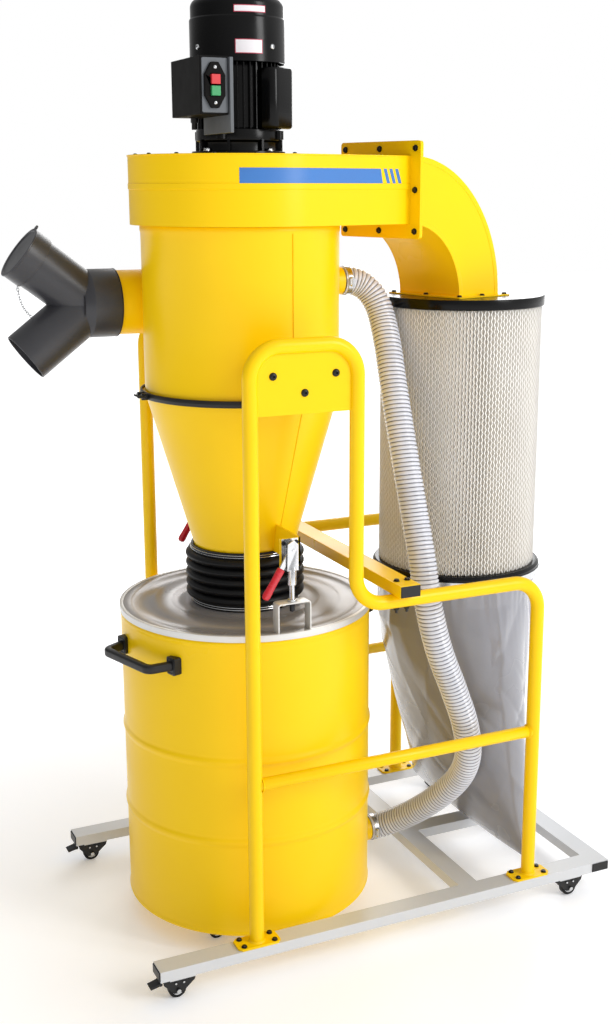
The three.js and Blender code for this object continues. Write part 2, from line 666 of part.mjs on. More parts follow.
// ---- fan ----------------------------------------------------------------------------------
// Seen from above in the outlet's own frame: x runs along the outlet and the filter's elbow.
const DUCT_NEAR = -FAN_RADIUS;
const DUCT_FAR = DUCT_NEAR + DUCT_WIDTH;
const DUCT_MIDDLE = (DUCT_NEAR + DUCT_FAR) / 2;
const ELBOW_X = FILTER_X - ELBOW_OFFSET_X;
const OUTLET_TURN = Math.asin(-DUCT_MIDDLE / ELBOW_X);
const ELBOW_FOOT_MIDDLE = Math.sqrt(ELBOW_X ** 2 - DUCT_MIDDLE ** 2);
const FAN_TOP_Z = FAN_BOTTOM_Z + FAN_HEIGHT;

// The scroll's outline, drawn in by a wall: a round with a straight outlet.
function scroll(inset, end) {
  const r = FAN_RADIUS - inset;
  const far = DUCT_FAR - inset;
  const start = Math.asin(far / r);
  const points = [new THREE.Vector2(end, far)];
  const turns = 36;
  for (let i = 0; i <= turns; i += 1) {
    const angle = start + ((1.5 * Math.PI - start) * i) / turns;
    points.push(new THREE.Vector2(r * Math.cos(angle), r * Math.sin(angle)));
  }
  points.push(new THREE.Vector2(end, -r));
  return new THREE.Shape(points);
}

function fanGroup() {
  const group = new THREE.Group();
  group.rotation.z = OUTLET_TURN;
  root.add(group);
  const end = FLANGE.at - FLANGE.thickness;
  const z0 = FAN_BOTTOM_Z;
  const z1 = FAN_TOP_Z - COVER - GAP;
  const flangeOutline = block(end, FLANGE.at, DUCT_NEAR - FLANGE.rim, DUCT_FAR + FLANGE.rim,
    z0 - FLANGE.rim, FAN_TOP_Z + FLANGE.rim);
  const shell = join(
    slab(scroll(0, FLANGE.at), z1 - z0).translate(0, 0, z0),
    block(FAN_RADIUS + 10, FLANGE.at, DUCT_NEAR, DUCT_FAR, z0, FAN_TOP_Z),
    flangeOutline,
  );
  const passage = slab(scroll(SHEET, FLANGE.at + 5), FAN_HEIGHT).translate(0, 0, z0 + SHEET);
  const ductPart = within(passage, block(FAN_RADIUS + 12, FLANGE.at + 6, -400, 400, z0, FAN_TOP_Z - SHEET));
  const roundPart = within(passage, block(-400, FAN_RADIUS + 13, -400, 400, z0, z1 + 1));
  const eye = rod(VORTEX.radius + 12, [0, 0, z0 - 5], [0, 0, z0 + 10], 32);
  add("fan_housing", cut(shell, roundPart, ductPart, eye), YELLOW, group);
  const coverOutline = slab(scroll(0, FAN_RADIUS + 10 - GAP), COVER).translate(0, 0, FAN_TOP_Z - COVER);
  const shaftHole = rod(SHAFT + 6, [0, 0, FAN_TOP_Z - 10], [0, 0, FAN_TOP_Z + 5], 20);
  add("fan_cover", cut(coverOutline, shaftHole), YELLOW, group);
  elbow(group);
}

// The elbow is swept about a centre level with its foot, in the outlet's vertical plane.
function elbow(group) {
  const x0 = FLANGE.at + GAP;
  const z0 = FILTER_TOP_Z + GAP;
  const low = FAN_BOTTOM_Z - z0;
  const high = FAN_TOP_Z - z0;
  const near = ELBOW_FOOT_MIDDLE - ELBOW_FOOT_WIDTH / 2 - x0;
  const far = near + ELBOW_FOOT_WIDTH;
  const quarter = (rx, rz, steps = 14) =>
    Array.from({ length: steps + 1 }, (_, i) => {
      const angle = (Math.PI / 2) * (i / steps);
      return [x0 + rx * Math.sin(angle), z0 + rz * Math.cos(angle)];
    });
  const outline = (inset, over) => [
    ...(over ? [[x0 - over, z0 + high - inset]] : []),
    ...quarter(far - inset, high - inset),
    ...(over ? [[x0 + far - inset, z0 - over], [x0 + near + inset, z0 - over]] : []),
    ...quarter(near + inset, low + inset).reverse(),
    ...(over ? [[x0 - over, z0 + low + inset]] : []),
  ];
  const body = upright(outline(0, 0), DUCT_NEAR, DUCT_FAR);
  const passage = upright(outline(SHEET, 8), DUCT_NEAR + SHEET, DUCT_FAR - SHEET);
  const rim = FLANGE.rim;
  const flange = block(x0, x0 + FLANGE.thickness, DUCT_NEAR - rim, DUCT_FAR + rim,
    FAN_BOTTOM_Z - rim, FAN_TOP_Z + rim);
  const lip = ELBOW_FOOT_FLANGE;
  const foot = block(x0 + near - lip, x0 + far + lip, DUCT_NEAR - lip, DUCT_FAR + lip, z0, z0 + 3);
  add("elbow_duct", cut(join(body, flange, foot), passage), YELLOW, group);
}

function impeller() {
  const z0 = IMPELLER.bottom;
  const z1 = z0 + IMPELLER.height;
  const plate = turned([[0, z1], [IMPELLER.radius, z1], [IMPELLER.radius, z1 + 3], [0, z1 + 3]], 32);
  const hub = rod(26, [0, 0, z0 + 20], [0, 0, z1 + 1], 16);
  const blades = Array.from({ length: IMPELLER.blades }, (_, i) =>
    block(20, IMPELLER.radius - 4, -1.5, 1.5, z0, z1 + 1)
      .rotateZ((2 * Math.PI * i) / IMPELLER.blades));
  const bore = rod(SHAFT + GAP, [0, 0, z0], [0, 0, z1 + 10], 16);
  add("impeller", cut(join(plate, hub, ...blades), bore), ALUMINIUM);
}

// ---- motor --------------------------------------------------------------------------------
const COWL_BOTTOM_Z = MOTOR.top - 22;
const FINS = 18;
const CAP_ANGLE = THREE.MathUtils.degToRad(CAPACITOR.angle);
const CAP_SEAT = [
  (CAPACITOR.near - GAP) * Math.cos(CAP_ANGLE),
  (CAPACITOR.near - GAP) * Math.sin(CAP_ANGLE),
  CAPACITOR.seatZ,
];

function motorHousing() {
  const z0 = FAN_TOP_Z + GAP;
  const zs = z0 + 26; // top of the neck flange
  const r = MOTOR.radius - 8;
  const outside = [
    [0, z0], [MOTOR.neck + 8, z0], [MOTOR.neck + 8, z0 + 8], [MOTOR.neck - 4, z0 + 8],
    [MOTOR.neck - 4, zs], [MOTOR.radius + 4, zs + 4], [MOTOR.radius + 4, zs + 26], [r, zs + 30],
    [r, MOTOR.top], [0, MOTOR.top],
  ];
  const fins = Array.from({ length: FINS }, (_, i) =>
    block(r - 2, MOTOR.radius, -2, 2, zs + 28, MOTOR.top - 1).rotateZ((2 * Math.PI * i) / FINS));
  const cavity = turned([[0, zs + 20], [58, zs + 20], [58, MOTOR.top - 22], [0, MOTOR.top - 22]], 24);
  const bore = rod(SHAFT + RUNNING, [0, 0, z0 - 5], [0, 0, MOTOR.top + 5], 20);
  const stub = rod(34, [0, 0, z0 - 5], [0, 0, z0 + 4], 20);
  const mount = block(SWITCH_BOX.x1 + GAP, -r + 6, SWITCH_BOX.y0 + 70, -20, SWITCH_BOX.z0 + 12,
    SWITCH_BOX.z1 - 12);
  const strip = block(SWITCH_BOX.x1 + GAP, SWITCH_BOX.x1 + 8, SWITCH_BOX.y0 - 10, -30, zs + 14,
    COWL_BOTTOM_Z - 2);
  const pad = rod(30, [0, 0, CAPACITOR.seatZ], CAP_SEAT, 12);
  add("motor_housing", cut(join(turned(outside, 32), ...fins, mount, strip, pad), cavity, bore, stub),
    BLACK_ENAMEL);
}

function motorRotor() {
  const bottom = IMPELLER.bottom + 18;
  const fanZ = MOTOR.top + 16;
  const z0 = FAN_TOP_Z + GAP + 26;
  const shaft = rod(SHAFT, [0, 0, bottom], [0, 0, fanZ + 26], 20);
  const core = turned([[0, z0 + 30], [54, z0 + 30], [54, MOTOR.top - 32], [0, MOTOR.top - 32]], 24);
  const hub = turned([[0, fanZ], [30, fanZ], [30, fanZ + 20], [0, fanZ + 20]], 16);
  const vanes = Array.from({ length: 8 }, (_, i) =>
    block(20, 78, -1.5, 1.5, fanZ, fanZ + 20).rotateZ((2 * Math.PI * i) / 8));
  add("motor_rotor", join(shaft, core, hub, ...vanes), ALUMINIUM);
}

function fanCowl() {
  const z0 = COWL_BOTTOM_Z;
  const top = MOTOR.cowlTop;
  const step = top - 52;
  const wide = MOTOR.cowl + 2.5;
  const r = MOTOR.cowl;
  const wall = 2.5;
  const shell = turned(
    [
      [wide - wall, z0], [wide, z0], [wide, step], [r, step + 4], [r, top - 24], [r - 6, top - 9],
      [r - 16, top - 2], [r - 28, top], [0, top], [0, top - wall], [r - 28, top - wall],
      [r - 17, top - 5], [r - wall - 5, top - 12], [r - wall, top - 25], [r - wall, step + 3],
      [wide - wall, step - 1], [wide - wall, z0],
    ],
    28,
  );
  const slots = Array.from({ length: 8 }, (_, i) =>
    block(24, 62, -3, 3, top - 20, top + 5).rotateZ((2 * Math.PI * i) / 8));
  const ears = Array.from({ length: 4 }, (_, i) =>
    block(MOTOR.radius + GAP, wide - 1, -8, 8, z0 + 6, z0 + 14)
      .rotateZ(Math.PI / 4 + (Math.PI * i) / 2));
  add("fan_cowl", join(cut(shell, ...slots), ...ears), BLACK_ENAMEL);
}

function capacitorCover() {
  const c = CAPACITOR;
  const half = c.width / 2;
  const shape = new THREE.Shape();
  const corner = 14;
  shape.moveTo(c.near, -half);
  shape.lineTo(c.far - corner, -half);
  shape.absarc(c.far - corner, corner - half, corner, -Math.PI / 2, 0);
  shape.lineTo(c.far, half - corner);
  shape.absarc(c.far - corner, half - corner, corner, 0, Math.PI / 2);
  shape.lineTo(c.near, half);
  const box = new THREE.ExtrudeGeometry(shape, {
    depth: c.z1 - c.z0, bevelEnabled: false, curveSegments: 5,
  });
  add("capacitor_cover", box.translate(0, 0, c.z0).rotateZ(CAP_ANGLE), BLACK_ENAMEL);
}

function switchBox() {
  const b = SWITCH_BOX;
  const z = (b.z0 + b.z1) / 2;
  const x = (b.x0 + b.x1) / 2;
  const hex = [[x - 22, z - 20], [x - 22, z + 20], [x - 8, z + 44], [x + 8, z + 44],
    [x + 22, z + 20], [x + 22, z - 20], [x + 8, z - 44], [x - 8, z - 44]];
  const bezel = upright(hex, b.y0 - 8, b.y0 + 1);
  const well = BUTTON.size / 2 + RUNNING + 0.3;
  const wells = [-1, 1].map((s) => {
    const zc = z + (s * BUTTON.pitch) / 2;
    return block(x - well, x + well, b.y0 - 20, b.y0 + 8, zc - well, zc + well);
  });
  add("switch_box", cut(join(block(b.x0, b.x1, b.y0, b.y1, b.z0, b.z1), bezel), ...wells),
    BLACK_ENAMEL);
  [["stop_button", 1, STOP_RED], ["start_button", -1, START_GREEN]].forEach(([name, s, paint]) => {
    const zc = z + (s * BUTTON.pitch) / 2;
    const half = BUTTON.size / 2;
    const front = b.y0 - 8 - BUTTON.proud;
    add(name, block(x - half, x + half, front, front + 16, zc - half, zc + half), paint);
  });
  const gx = b.x0 + 40;
  const gy = b.y1 - 26;
  add("cable_gland", cut(
    join(rod(8, [gx, gy, b.z0 - GAP], [gx, gy, b.z0 - 10], 6), rod(6, [gx, gy, b.z0 - 9],
      [gx, gy, b.z0 - 24], 12)),
    rod(4, [gx, gy, b.z0 - 4], [gx, gy, b.z0 - 30], 10),
  ), BLACK_PLASTIC);
}

// ---- filter -------------------------------------------------------------------------------
function filter() {
  const group = new THREE.Group();
  group.position.x = FILTER_X;
  root.add(group);
  const r = FILTER_RADIUS;
  const top = FILTER_TOP_Z;
  const capR = r + 5;
  const hole = slab([[-ELBOW_FOOT_WIDTH / 2, -DUCT_WIDTH / 2], [ELBOW_FOOT_WIDTH / 2, -DUCT_WIDTH / 2],
    [ELBOW_FOOT_WIDTH / 2, DUCT_WIDTH / 2], [-ELBOW_FOOT_WIDTH / 2, DUCT_WIDTH / 2]], 60)
    .translate(0, 0, top - 50)
    .rotateZ(OUTLET_TURN)
    .translate(-ELBOW_OFFSET_X, 0, 0);
  const cap = turned([[0, top - 4], [r - 14, top - 4], [r - 14, top - CAP_HEIGHT], [capR, top - CAP_HEIGHT],
    [capR, top], [0, top]], 40);
  add("filter_top_cap", cut(cap, hole), BLACK_ENAMEL, group);
  const elementTop = top - CAP_HEIGHT - GAP;
  add("filter_element", ring(r, r - 26, FILTER_BOTTOM_Z, elementTop, 40), PAPER, group);
  const z0 = FILTER_BOTTOM_Z - GAP;
  add("filter_bottom_ring", turned(
    [[r - 28, z0 - 4], [r + 10, z0 - 4], [r + 14, z0 - 10], [r + 14, z0 - 34], [r + 11, z0 - 34],
      [r + 11, z0 - 11], [r + 9, z0 - 7], [r - 28, z0 - 7], [r - 28, z0 - 4]].map(([a, z]) => [a, z + 4]),
    40), BLACK_ENAMEL, group);
  bagAndStrap(group, z0);
}

// The bag: round under the filter, drawn out to a straight folded seam at its foot.
function bagAndStrap(group, ringZ) {
  const top = ringZ - 8;
  const mouth = FILTER_RADIUS + 10;
  const height = top - BAG.bottom;
  const body = new THREE.CylinderGeometry(1, 1, height, 28, 8).rotateX(Math.PI / 2)
    .translate(0, 0, BAG.bottom + height / 2);
  const place = body.getAttribute("position");
  for (let i = 0; i < place.count; i += 1) {
    const t = Math.max((place.getZ(i) - BAG.bottom) / height, 0);
    const open = Math.min(t / 0.8, 1) ** 0.6;
    const halfX = BAG.thickness + (mouth - 10 - BAG.thickness) * open + 9 * Math.max(0, (t - 0.9) / 0.1);
    const halfY = BAG.halfWidth + (mouth - BAG.halfWidth) * Math.min(t / 0.9, 1);
    place.setX(i, place.getX(i) * halfX + BAG.foldX * (1 - Math.min(t / 0.8, 1)));
    place.setY(i, place.getY(i) * halfY);
  }
  add("dust_bag", body, BAG_FILM, group);
  const r = FILTER_RADIUS + 14 + GAP;
  const strapTop = ringZ - 12;
  const strap = ring(r + 2, r, strapTop - 18, strapTop, 40);
  const latch = block(-20, 20, -r - 12, -r - 1, strapTop - 16, strapTop - 2);
  add("bag_strap", join(strap, latch), ZINC, group);
}

// ---- balance hose -------------------------------------------------------------------------
// From the barrel's port, down in front of the filter and back to the drum's spigot.
const HOSE_RADIUS = 32;
const HOSE_ROUTE = [
  [246.5, 0, 1490], [268, 0, 1490], [294, -2, 1482], [317, -10, 1462], [331, -22, 1432],
  [336, -36, 1400], [333, -70, 1342], [328, -104, 1270], [326, -140, 1183], [327, -180, 1074],
  [332, -214, 964], [335, -243, 877], [341, -260, 786], [368, -268, 668], [410, -271, 560],
  [444, -270, 466], [463, -255, 385], [468, -214, 310], [449, -155, 238], [420, -86, 172],
  [388, -32, 128], [358, -4, 107], [344, 0, 105], [326.5, 0, 105],
];

function balanceHose() {
  const curve = new THREE.CatmullRomCurve3(
    HOSE_ROUTE.map((point) => new THREE.Vector3(...point)), false, "centripetal");
  add("balance_hose", tubeAlong(curve, HOSE_RADIUS, 8, 34), HOSE_GREY);
}

// ---- the whole ----------------------------------------------------------------------------
baseFrame();
SIDES.forEach(([end, s]) => sideFrame(end + "_side_frame", s));
crossBeam();
barrel();
vortexTube();
cone();
bandClamp();
wyeGroup();
bellows();
drum();
drumHandle("drum_handle_left", HANDLE.angle + 180);
drumHandle("drum_handle_right", HANDLE.angle);
lid();
SIDES.forEach(([end, s]) => toggleClamp(end, s));
fanGroup();
impeller();
motorHousing();
motorRotor();
fanCowl();
capacitorCover();
switchBox();
filter();
balanceHose();

// The origin is the middle of the object's base, measured without the free hose.
root.updateMatrixWorld(true);
const bounds = new THREE.Box3();
root.traverse((piece) => {
  if (piece.isMesh && piece.name !== "balance_hose") bounds.expandByObject(piece, true);
});
root.position.set(
  -(bounds.min.x + bounds.max.x) / 2,
  -(bounds.min.y + bounds.max.y) / 2,
  -bounds.min.z,
);

export default root;
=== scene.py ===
"""The looks of a two-stage dust collector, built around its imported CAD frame.

Shapes are worked out in millimetres about the cyclone's axis (x to the filter, -y the front,
z up) and put into the frame's metres by piece(). Driving sizes come from the CAD nodes' boxes.
"""

import json
from math import asin, cos, pi, radians, sin, sqrt, tan

import bmesh
import bpy
import numpy as np
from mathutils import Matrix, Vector

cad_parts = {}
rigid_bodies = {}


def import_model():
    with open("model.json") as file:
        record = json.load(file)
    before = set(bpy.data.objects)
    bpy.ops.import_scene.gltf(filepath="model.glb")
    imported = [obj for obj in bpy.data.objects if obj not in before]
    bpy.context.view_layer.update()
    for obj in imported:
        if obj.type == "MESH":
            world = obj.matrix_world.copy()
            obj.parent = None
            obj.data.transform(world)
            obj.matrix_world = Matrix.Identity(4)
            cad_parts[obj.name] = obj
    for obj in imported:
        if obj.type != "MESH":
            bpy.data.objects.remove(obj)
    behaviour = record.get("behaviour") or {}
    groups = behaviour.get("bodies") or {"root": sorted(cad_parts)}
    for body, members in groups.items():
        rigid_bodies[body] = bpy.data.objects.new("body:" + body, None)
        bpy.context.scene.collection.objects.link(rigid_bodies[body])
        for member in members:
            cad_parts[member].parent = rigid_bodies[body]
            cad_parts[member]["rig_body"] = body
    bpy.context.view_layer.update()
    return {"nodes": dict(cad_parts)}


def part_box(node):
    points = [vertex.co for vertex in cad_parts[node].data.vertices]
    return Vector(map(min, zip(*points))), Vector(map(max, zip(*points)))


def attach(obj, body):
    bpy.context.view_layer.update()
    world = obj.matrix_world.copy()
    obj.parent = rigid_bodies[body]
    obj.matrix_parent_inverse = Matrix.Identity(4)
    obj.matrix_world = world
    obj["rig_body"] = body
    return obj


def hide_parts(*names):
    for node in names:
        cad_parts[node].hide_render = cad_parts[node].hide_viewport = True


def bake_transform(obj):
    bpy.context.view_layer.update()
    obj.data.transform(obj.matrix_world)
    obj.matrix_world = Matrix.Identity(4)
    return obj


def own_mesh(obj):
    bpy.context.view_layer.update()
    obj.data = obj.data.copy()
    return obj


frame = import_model()

# ---- measures read from the frame -----------------------------------------------------------
MM = 0.001
gasket_low, gasket_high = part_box("lid_gasket")
AXIS_X = (gasket_low.x + gasket_high.x) / 2


def edges(node):
    """The lowest and highest corners of a CAD node, in mm about the cyclone's axis."""
    low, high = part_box(node)
    return ((np.array(low) - (AXIS_X, 0, 0)) / MM, (np.array(high) - (AXIS_X, 0, 0)) / MM)


def metres(x, y, z):
    """A point about the cyclone's axis, in the frame's metres."""
    return AXIS_X + x * MM, y * MM, z * MM


base_low, base_high = edges("base_frame")
frame_low, frame_high = edges("front_side_frame")
gasket_low, gasket_high = edges("lid_gasket")
bellows_low, bellows_high = edges("bellows")
cone_low, cone_high = edges("cyclone_cone")
cowl_low, cowl_high = edges("fan_cowl")
filter_low, filter_high = edges("filter_element")
cap_low, cap_high = edges("filter_top_cap")
ring_low, ring_high = edges("filter_bottom_ring")
bag_low, bag_high = edges("dust_bag")

WALL = 2.0  # thickness of the sheet parts
# The base and the side frames: rail width, tube and brace radii, post and rail centre lines.
RAIL = 50.0
RAIL_TOP = base_high[2]
SIDE_Y = base_high[1] - RAIL / 2
TUBE_R = 16.0
BRACE_R = 14.0
BRACE_Z = 453.0
POST_X = -(frame_low[0] + 50)
FAR_POST_X = frame_high[0] - 50
FRAME_TOP = frame_high[2] - TUBE_R
SIDE_RAIL_Z = edges("cross_beam")[0][2] - 0.3 - TUBE_R
BEND = 66.0
GUSSET_Z = 1250.0
GUSSET_BOLTS = [(-70, 1330), (70, 1330), (0, 1293)]

# The drum and its lid, up to the toggles' pivots.
DRUM_R = gasket_high[0] + 1
DRUM_Z0 = edges("castor_fork_drum_front_left")[1][2] + 3.3
DRUM_Z1 = gasket_low[2] - 0.3
LID_Z0 = gasket_high[2] + 0.3
LID_Z1 = bellows_low[2] - 0.3
NECK_R = 118.0
BRACKET_Y = 270.0
TOGGLE_PIVOT_Z = 945.0

# The cyclone, the fan, and the duct in the outlet's own turned frame.
CONE_Z1 = cone_high[2]
BARREL_R = 218.0
FAN_R = 240.0
FAN_Z1 = edges("fan_cover")[1][2]
FAN_Z0 = FAN_Z1 - 145
BARREL_Z1 = FAN_Z0 - 1
DUCT_WIDTH = 195.0
FLANGE_AT = 288.0
FLANGE_RIM = 32.0
FOOT_HALF = 65.0

# The filter, and how far the outlet is turned so that the elbow stands on it.
FILTER_X = (filter_low[0] + filter_high[0]) / 2
FILTER_R = (filter_high[0] - filter_low[0]) / 2
DUCT_MIDDLE = DUCT_WIDTH / 2 - FAN_R
ELBOW_X = FILTER_X - 36
OUTLET_TURN = asin(-DUCT_MIDDLE / ELBOW_X)

# The inlet stub, the hose's two ends, and the light of the sky from its dim to its bright side.
INLET_Y, INLET_Z, INLET_R = 148.0, 1447.0, 71.5
HOSE_PORT_X, HOSE_PORT_Z = 245.0, 1490.0
SPIGOT_X, SPIGOT_Z = edges("drum_body")[1][0], 105.0
PIPE_R = 31.0
SKY_DIM, SKY_BRIGHT = 0.22, 0.95


# ---- camera ---------------------------------------------------------------------------------
def add_camera():
    """A standing viewer's camera, to the left of the front and looking down a little."""
    data = bpy.data.cameras.new("camera")
    data.sensor_width = 36
    data.lens = 47.3
    data.shift_x = -0.018
    data.clip_end = 60
    camera = bpy.data.objects.new("camera", data)
    camera.location = metres(-1120, -2810, 1700)
    camera.rotation_euler = (radians(90 - 13.6), 0, radians(-25.3))
    bpy.context.scene.collection.objects.link(camera)
    bpy.context.scene.camera = camera


# ---- shapes ---------------------------------------------------------------------------------
def unit(v):
    """Vectors scaled to a length of one."""
    v = np.asarray(v, float)
    return v / np.linalg.norm(v, axis=-1, keepdims=True)


def outward(points, faces):
    """The faces turned the other way where their signed volume is negative."""
    volume = 0.0
    for size in {len(face) for face in faces}:
        group = np.array([face for face in faces if len(face) == size])
        for k in range(1, size - 1):
            a, b, c = points[group[:, 0]], points[group[:, k]], points[group[:, k + 1]]
            volume += np.einsum("ij,ij->", a, np.cross(b, c))
    return points, (faces if volume > 0 else [face[::-1] for face in faces])


def grid(points, wrap_u=False, wrap_v=False, caps=False):
    """Quads over a (u, v) array of points; caps close the first and last rows."""
    nu, nv = points.shape[:2]
    index = np.arange(nu * nv).reshape(nu, nv)
    ends = [index[0].tolist(), index[-1][::-1].tolist()] if caps else []
    if wrap_u:
        index = np.vstack([index, index[:1]])
    if wrap_v:
        index = np.hstack([index, index[:, :1]])
    quads = np.stack([index[:-1, :-1], index[1:, :-1], index[1:, 1:], index[:-1, 1:]], -1)
    return outward(points.reshape(-1, 3), quads.reshape(-1, 4).tolist() + ends)


def aimed(points, centre, direction):
    """Points given about z, turned so that z runs along a direction, then moved to a centre."""
    w = unit(direction)
    helper = np.array([1.0, 0, 0]) if abs(w[2]) > 0.9 else np.array([0, 0, 1.0])
    v = unit(np.cross(w, helper))
    u = np.cross(v, w)
    return points @ np.array([u, v, w]) + np.asarray(centre, float)


def round_points(r, angle, z):
    """Points at a radius and an angle about z, at a height."""
    return np.stack(np.broadcast_arrays(r * np.cos(angle), r * np.sin(angle), z), -1)


def turned(profile, sides=96, centre=(0, 0, 0), direction=(0, 0, 1)):
    """Each (radius, height) point of a profile carried round an axis.

    A profile that starts on the axis is closed by its poles, any other closes on itself.
    """
    profile = np.array(profile, float)
    angle = np.linspace(0, 2 * pi, sides, endpoint=False)[:, None]
    r, h = profile[:, 0], profile[:, 1]
    points, faces = grid(round_points(r, angle, h), wrap_u=True, wrap_v=r[0] > 0)
    return outward(aimed(points, centre, direction), faces)


def rounded(corners, radius, steps=5, closed=False):
    """A polyline whose corners are arcs: along + across * (1 - cos) from each tangent point."""
    corners = [np.asarray(corner, float) for corner in corners]
    count = len(corners)
    made = []
    for i, corner in enumerate(corners):
        if not closed and i in (0, count - 1):
            made.append(corner)
            continue
        inward = unit(corner - corners[i - 1])
        onward = unit(corners[(i + 1) % count] - corner)
        turn = np.arccos(np.clip(inward @ onward, -1, 1))
        if turn < 1e-4:
            made.append(corner)
            continue
        start = corner - inward * radius * tan(turn / 2)
        across = unit(onward - inward * (onward @ inward))
        for angle in np.linspace(0, turn, steps + 1):
            made.append(start + radius * (inward * sin(angle) + across * (1 - cos(angle))))
    return np.array(made)


def panel(x0, y0, x1, y1, radius, steps):
    """A rectangle's outline with rounded corners."""
    return rounded([(x0, y0), (x1, y0), (x1, y1), (x0, y1)], radius, steps, closed=True)


def disc(radius, sides=20, flat=1.0):
    """A round outline; flat squashes its second axis."""
    angle = np.linspace(0, 2 * pi, sides, endpoint=False)
    return np.stack([radius * np.cos(angle), radius * flat * np.sin(angle)], 1)


def transported(path):
    """Side and up vectors carried along a path with the least twist."""
    tangent = unit(np.gradient(path, axis=0))
    side = [unit(np.cross(tangent[0], (0, 0, 1.0)))]
    for along in tangent[1:]:
        side.append(unit(side[-1] - along * (side[-1] @ along)))
    side = np.array(side)
    return side, np.cross(side, tangent)


def swept(section, path, normal=None, closed=False):
    """A section carried along a path; its first axis lies in the plane that normal crosses."""
    path = np.asarray(path, float)
    if normal is None:
        side, up = transported(path)
    else:
        ring = np.vstack([path[-1:], path, path[:1]]) if closed else path
        tangent = unit(np.gradient(ring, axis=0))
        tangent = tangent[1:-1] if closed else tangent
        up = np.tile(unit(normal), (len(path), 1))
        side = unit(np.cross(tangent, up))
    section = np.asarray(section, float)
    points = (path[:, None] + side[:, None] * section[None, :, :1]
              + up[:, None] * section[None, :, 1:])
    return grid(points, wrap_u=closed, wrap_v=True, caps=not closed)


def plate(outline, depth, origin=(0, 0, 0), across=(1, 0, 0), along=(0, 1, 0)):
    """A flat outline pushed through a depth, on the plane of two directions."""
    outline = np.asarray(outline, float)
    u, v = unit(across), unit(along)
    flat = np.asarray(origin, float) + outline[:, :1] * u + outline[:, 1:] * v
    return grid(np.stack([flat, flat + np.cross(u, v) * depth]), wrap_v=True, caps=True)


def brick(low, high):
    """A plain block from corner to corner, for the bevel to round."""
    (x0, y0, z0), (x1, y1, z1) = low, high
    return plate([(x0, y0), (x1, y0), (x1, y1), (x0, y1)], z1 - z0, (0, 0, z0))


def upright(outline, y0, y1):
    """An outline in x and z pushed through y0 to y1."""
    return plate(outline, y1 - y0, (0, y1, 0), (1, 0, 0), (0, 0, 1))


def collar(loops):
    """A flat closed sheet through four (outline, height) loops of as many points each."""
    return grid(np.stack([np.column_stack([loop, 0 * loop[:, 0] + z]) for loop, z in loops]),
                wrap_u=True, wrap_v=True)


def to_box(rays, half):
    """How far each ray from a rectangle's centre runs before it meets the rectangle."""
    return np.min(half / np.maximum(np.abs(rays), 1e-6), axis=1)[:, None]


def spun(part, degrees):
    """A part turned about the cyclone's axis."""
    points, faces = part
    a = radians(degrees)
    turn = np.array([[cos(a), -sin(a), 0], [sin(a), cos(a), 0], [0, 0, 1]])
    return points @ turn.T, faces


def moved(part, shift):
    """A part carried along by a shift."""
    points, faces = part
    return points + np.asarray(shift, float), faces


def placed(part, places):
    """Copies of a part, each with its foot at a point and its z along a direction."""
    return [outward(aimed(part[0], point, direction), part[1]) for point, direction in places]


def hex_bolt(size):
    """A hexagon head with a chamfered top on a round washer; size is the thread diameter."""
    r = size * 0.9
    head = [(0, 1.5), (r, 1.5), (r, size * 0.55), (r * 0.84, size * 0.72), (0, size * 0.72)]
    washer = [(0, 0), (size, 0), (size, 1.5), (0, 1.5)]
    return [turned(head, 6), turned(washer, 20)]


def button_bolt(size):
    """A domed head with a hexagon socket sunk in it."""
    r = size * 0.92
    dome = [(r * cos(a), 0.8 + size * 0.5 * sin(a)) for a in np.linspace(0, 1, 6) * pi / 2 * 0.72]
    rim = size * 0.32
    head = [(0, 0), (r, 0)] + dome + [(rim, dome[-1][1]), (rim, 1.2), (0, 1.2)]
    return [turned(head, 18)]


def bolts_at(kind, places, size):
    """Bolts of one kind, each at a point with its head along a direction."""
    return [copy for part in kind(size) for copy in placed(part, places)]


def cylinder(radius, start, end, sides):
    """A solid round bar between two points with small chamfers."""
    edge = 0.6
    start, end = np.asarray(start, float), np.asarray(end, float)
    length = np.linalg.norm(end - start)
    profile = [(0, 0), (radius - edge, 0), (radius, edge), (radius, length - edge),
               (radius - edge, length), (0, length)]
    return turned(profile, sides, start, end - start)


def pipe(outer, inner, start, end, sides=64, lip=0.5):
    """An open tube wall between two points with eased ends."""
    start, end = np.asarray(start, float), np.asarray(end, float)
    length = np.linalg.norm(end - start)
    profile = [(inner, lip), (inner + lip, 0), (outer - lip, 0), (outer, lip),
               (outer, length - lip), (outer - lip, length), (inner + lip, length),
               (inner, length - lip)]
    return turned(profile, sides, start, end - start)


# ---- putting a shape in the scene -----------------------------------------------------------
def finish_mesh(obj, material, bevel, angle):
    """Smooth faces with creases at real corners, and a small round on them where asked."""
    mesh = obj.data
    mesh.polygons.foreach_set("use_smooth", np.ones(len(mesh.polygons), bool))
    mesh.set_sharp_from_angle(angle=radians(angle))
    mesh.materials.clear()
    mesh.materials.append(material)
    if bevel:
        rounding = obj.modifiers.new("rounded edges", "BEVEL")
        rounding.width = bevel * MM
        rounding.segments = 2
        rounding.limit_method = "ANGLE"
        rounding.angle_limit = radians(angle)
        rounding.harden_normals = True


